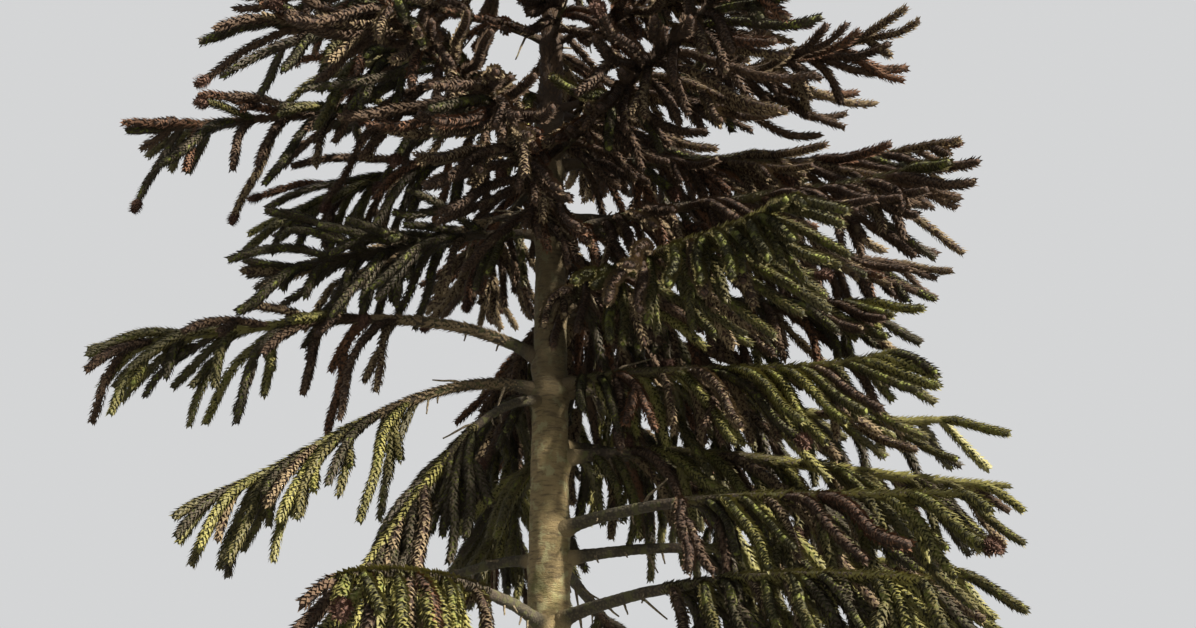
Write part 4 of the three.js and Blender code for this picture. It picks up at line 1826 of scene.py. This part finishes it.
@dataclass
class Cones:
    """Spent pollen cones at the ends of some shoots: spindles of dry scales in spirals."""

    length: float = 0.125
    radius: float = 0.038
    sunk_in: float = 0.02
    rings: int = 8
    sides: int = 6
    # The stretch of a half wave that the spindle follows, from a narrow foot to a blunt tip.
    spindle_from: float = 0.16
    spindle_run: float = 0.70
    scales: int = 110
    scale_length: float = 0.042
    scale_half_width: float = 0.013
    scale_keel: float = 0.005
    scale_opening: float = 1.15
    missing_share: float = 0.1
    stock: MeshStock = field(default_factory=lambda: MeshStock(False))

    def build(self, shoot: Shoot, order: int) -> None:
        """Builds the cone that goes on from a shoot's tip.

        Args:
            shoot: The shoot.
            order: Its place among all shoots.
        """
        place, along = along_path(shoot.points, 1)
        start = place - along * self.sunk_in
        spine = Spine(start + along * np.linspace(0, self.length, self.rings)[:, None])
        half_wave = math.pi * (self.spindle_from + self.spindle_run * np.linspace(0, 1, self.rings))
        width = self.radius * np.sin(half_wave)
        self.stock.add(*tube(spine, np.repeat(width[:, None], self.sides, axis=1)), shoot.node)
        coat = LeafCoat(
            leaves_per_metre=self.scales / self.length,
            leaf_length=self.scale_length,
            half_width=self.scale_half_width,
            keel=self.scale_keel,
            withered_opening=self.scale_opening,
            missing_share=self.missing_share,
        )
        # A cone has its number of scales, however thick it is.
        length = self.length / coat.girth(width)
        scales = coat.leaves(CONE_COAT_SEED + order, spine, length, width, True)
        self.stock.add(*scales, shoot.node)

    def pieces(self) -> None:
        """Joins the cones into one piece."""
        self.stock.pieces("spent_cones", Look.BROWN.value, ConeFinish().material())


@dataclass
class Trunk:
    """The trunk's skin, with level wrinkles, collars under the limbs and the flared foot."""

    limbs: list[Limb]
    sides: int = 72
    ring_apart_low: float = 0.011
    ring_apart_high: float = 0.020
    fine_to: float = 5.6
    # Broad ridges with narrow creases between them, which waver and are stronger in some places.
    wrinkle_apart: float = 0.034
    wrinkle_height: float = 0.0048
    wrinkle_power: float = 0.6
    wrinkle_level: float = 0.6
    waver: tuple[Wave, ...] = (
        Wave(2, 3.1, height=0.9),
        Wave(3, -7.3, 1.0, 0.6),
        Wave(5, 11.9, 2.0, 0.5),
    )
    mean_strength: float = 0.6
    strength: Wave = Wave(4, 5.7, 0.4, 0.4)
    # Finer creases on the ridges, which waver more.
    crease_apart: float = 0.013
    crease_height: float = 0.001
    crease_waver: float = 2.5
    # Plates, from two waves of which the first bends with the height.
    plate_height: float = 0.003
    plates: tuple[Wave, Wave] = (Wave(7, 0), Wave(1, 23))
    plate_bend: Wave = Wave(0, 9, height=2.0)
    # Swellings under the limbs.
    collar_height: float = 0.022
    collar_half_width: float = 0.085
    collar_half_height: float = 0.075
    collar_below_limb: float = 0.015
    stock: MeshStock = field(default_factory=lambda: MeshStock(True))

    def build(self) -> None:
        """Builds the trunk as one tube with relief."""
        low = np.arange(0, self.fine_to, self.ring_apart_low)
        high = np.arange(self.fine_to, TRUNK.top, self.ring_apart_high)
        heights = np.concatenate([low, high, [TRUNK.top]])
        spine = Spine(np.array([TRUNK.centre(height) for height in heights]))
        # The rings are level, as the cut under the trunk is.
        spine.across[:] = np.array([1.0, 0.0, 0.0])
        spine.along[:] = UP
        spine.over[:] = np.cross(spine.across, spine.along)
        angle = FULL_TURN * np.arange(self.sides) / self.sides
        radii = np.array([TRUNK.radius(height) + TRUNK.flare(height, angle) for height in heights])
        bearing = np.arctan2(-np.cos(angle), np.sin(angle))
        radii += self.relief(heights[:, None], bearing[None, :], radii)
        points, faces = tube(spine, radii)
        self.stock.add(points, faces, "trunk")
        self.close_foot(points)

    def relief(self, height: Array, bearing: Array, radii: Array) -> Array:
        """Works out how far the bark stands out.

        Args:
            height: The height of each ring, as a column.
            bearing: The bearing of each side, as a row.
            radii: The smooth trunk's radius at each ring and side.

        Returns:
            What the bark adds to each radius.
        """
        waver = sum(wave.at(bearing, height) for wave in self.waver)
        ridges = np.abs(np.sin(math.pi * height / self.wrinkle_apart + waver)) ** self.wrinkle_power
        strength = self.mean_strength + self.strength.at(bearing, height)
        wrinkles = self.wrinkle_height * strength * (ridges - self.wrinkle_level)
        fine = math.pi * height / self.crease_apart + self.crease_waver * waver
        creases = self.crease_height * np.sin(fine)
        bent, straight = self.plates
        bend = self.plate_bend.at(bearing, height)
        plates = self.plate_height * bent.at(bearing, height, bend) * straight.at(bearing, height)
        collars = np.zeros_like(wrinkles)
        for limb in self.limbs:
            turn = math.radians(limb.row.bearing)
            away = (bearing - turn + math.pi) % FULL_TURN - math.pi
            wide = away * radii / self.collar_half_width
            high = (height - limb.height + self.collar_below_limb) / self.collar_half_height
            collars = np.maximum(collars, self.collar_height * np.exp(-(wide**2) - high**2))
        return wrinkles + creases + plates + collars

    def close_foot(self, points: Array) -> None:
        """Closes the flat cut at ground level.

        Args:
            points: The points of the trunk's skin, from the lowest ring up.
        """
        rim = points[: self.sides]
        number = np.arange(self.sides)
        faces = np.stack([np.roll(number, -1), number, np.full(self.sides, self.sides)], axis=-1)
        self.stock.add(np.vstack([rim, TRUNK.centre(0)]), faces, "trunk")

    def pieces(self) -> None:
        """Makes the trunk's piece."""
        self.stock.pieces("trunk_bark", "bark", TrunkFinish().material())


@dataclass
class Studio:
    """The camera at the photograph's place, a pale floor and soft light. Angles are in degrees."""

    camera_place: tuple[float, float, float] = (0.37, -10.0, 1.6)
    pitch_up: float = 22.6
    focal_pixels: float = 1300.0
    picture_width: float = 1196.0
    sensor: float = 36.0
    farthest_seen: float = 200.0
    floor_size: float = 60.0
    sun_power: float = 14.0
    sun_width: float = 5.0
    sun_colour: tuple[float, float, float] = (1.0, 0.945, 0.85)
    sun_from_zenith: float = 60.0
    sun_turn: float = 54.0
    surround: str = "#e4e5e6"
    surround_power: float = 0.85

    def set_camera(self) -> None:
        """Places the camera."""
        data = bpy.data.cameras.new("camera")
        data.sensor_width = self.sensor
        data.lens = self.focal_pixels / self.picture_width * self.sensor
        data.clip_end = self.farthest_seen
        camera = bpy.data.objects.new("camera", data)
        camera.location = self.camera_place
        camera.rotation_euler = (math.radians(90 + self.pitch_up), 0, 0)
        bpy.context.scene.collection.objects.link(camera)
        bpy.context.scene.camera = camera

    def lay_floor(self) -> None:
        """Lays the floor under the trunk's cut."""
        half = self.floor_size / 2
        corners = [(-half, -half, 0), (half, -half, 0), (half, half, 0), (-half, half, 0)]
        mesh = bpy.data.meshes.new("floor")
        mesh.from_pydata(corners, [], [(0, 1, 2, 3)])
        mesh.materials.append(FloorFinish().material())
        floor = bpy.data.objects.new("floor", mesh)
        bpy.context.scene.collection.objects.link(floor)

    def set_light(self) -> None:
        """Lights the tree with a soft sun from the right and front, and an even pale surround."""
        sun = bpy.data.lights.new("sun", "SUN")
        sun.energy = self.sun_power
        sun.angle = math.radians(self.sun_width)
        sun.color = self.sun_colour
        lamp = bpy.data.objects.new("sun", sun)
        lamp.rotation_euler = (math.radians(self.sun_from_zenith), 0, math.radians(self.sun_turn))
        bpy.context.scene.collection.objects.link(lamp)
        world = bpy.data.worlds.new("studio")
        world.use_nodes = True
        background = world.node_tree.nodes["Background"]
        background.inputs["Color"].default_value = linear(self.surround)
        background.inputs["Strength"].default_value = self.surround_power
        bpy.context.scene.world = world
        bpy.context.scene.view_settings.view_transform = "Standard"


def main() -> None:
    """Builds the studio and the whole tree, piece by piece."""
    logging.basicConfig(level=logging.INFO, format="%(message)s")
    studio = Studio()
    studio.set_camera()
    studio.lay_floor()
    studio.set_light()
    limbs = limbs_of(WHORLS)
    crown = Crown(limbs)
    crown.grow()
    trunk = Trunk(limbs)
    trunk.build()
    trunk.pieces()
    wood, stubs, ropes, cones = Wood(), Stubs(), Ropes(), Cones()
    for limb in limbs:
        wood.build_limb(limb)
        stubs.build_limb(limb)
        ropes.dress_limb(limb)
    for order, shoot in enumerate(crown.shoots):
        ropes.dress_shoot(shoot, order)
        if shoot.has_cone:
            cones.build(shoot, order)
    ropes.dress_trunk_top()
    wood.pieces()
    stubs.pieces()
    ropes.pieces()
    cones.pieces()
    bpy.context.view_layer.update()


if __name__ == "__main__":
    main()
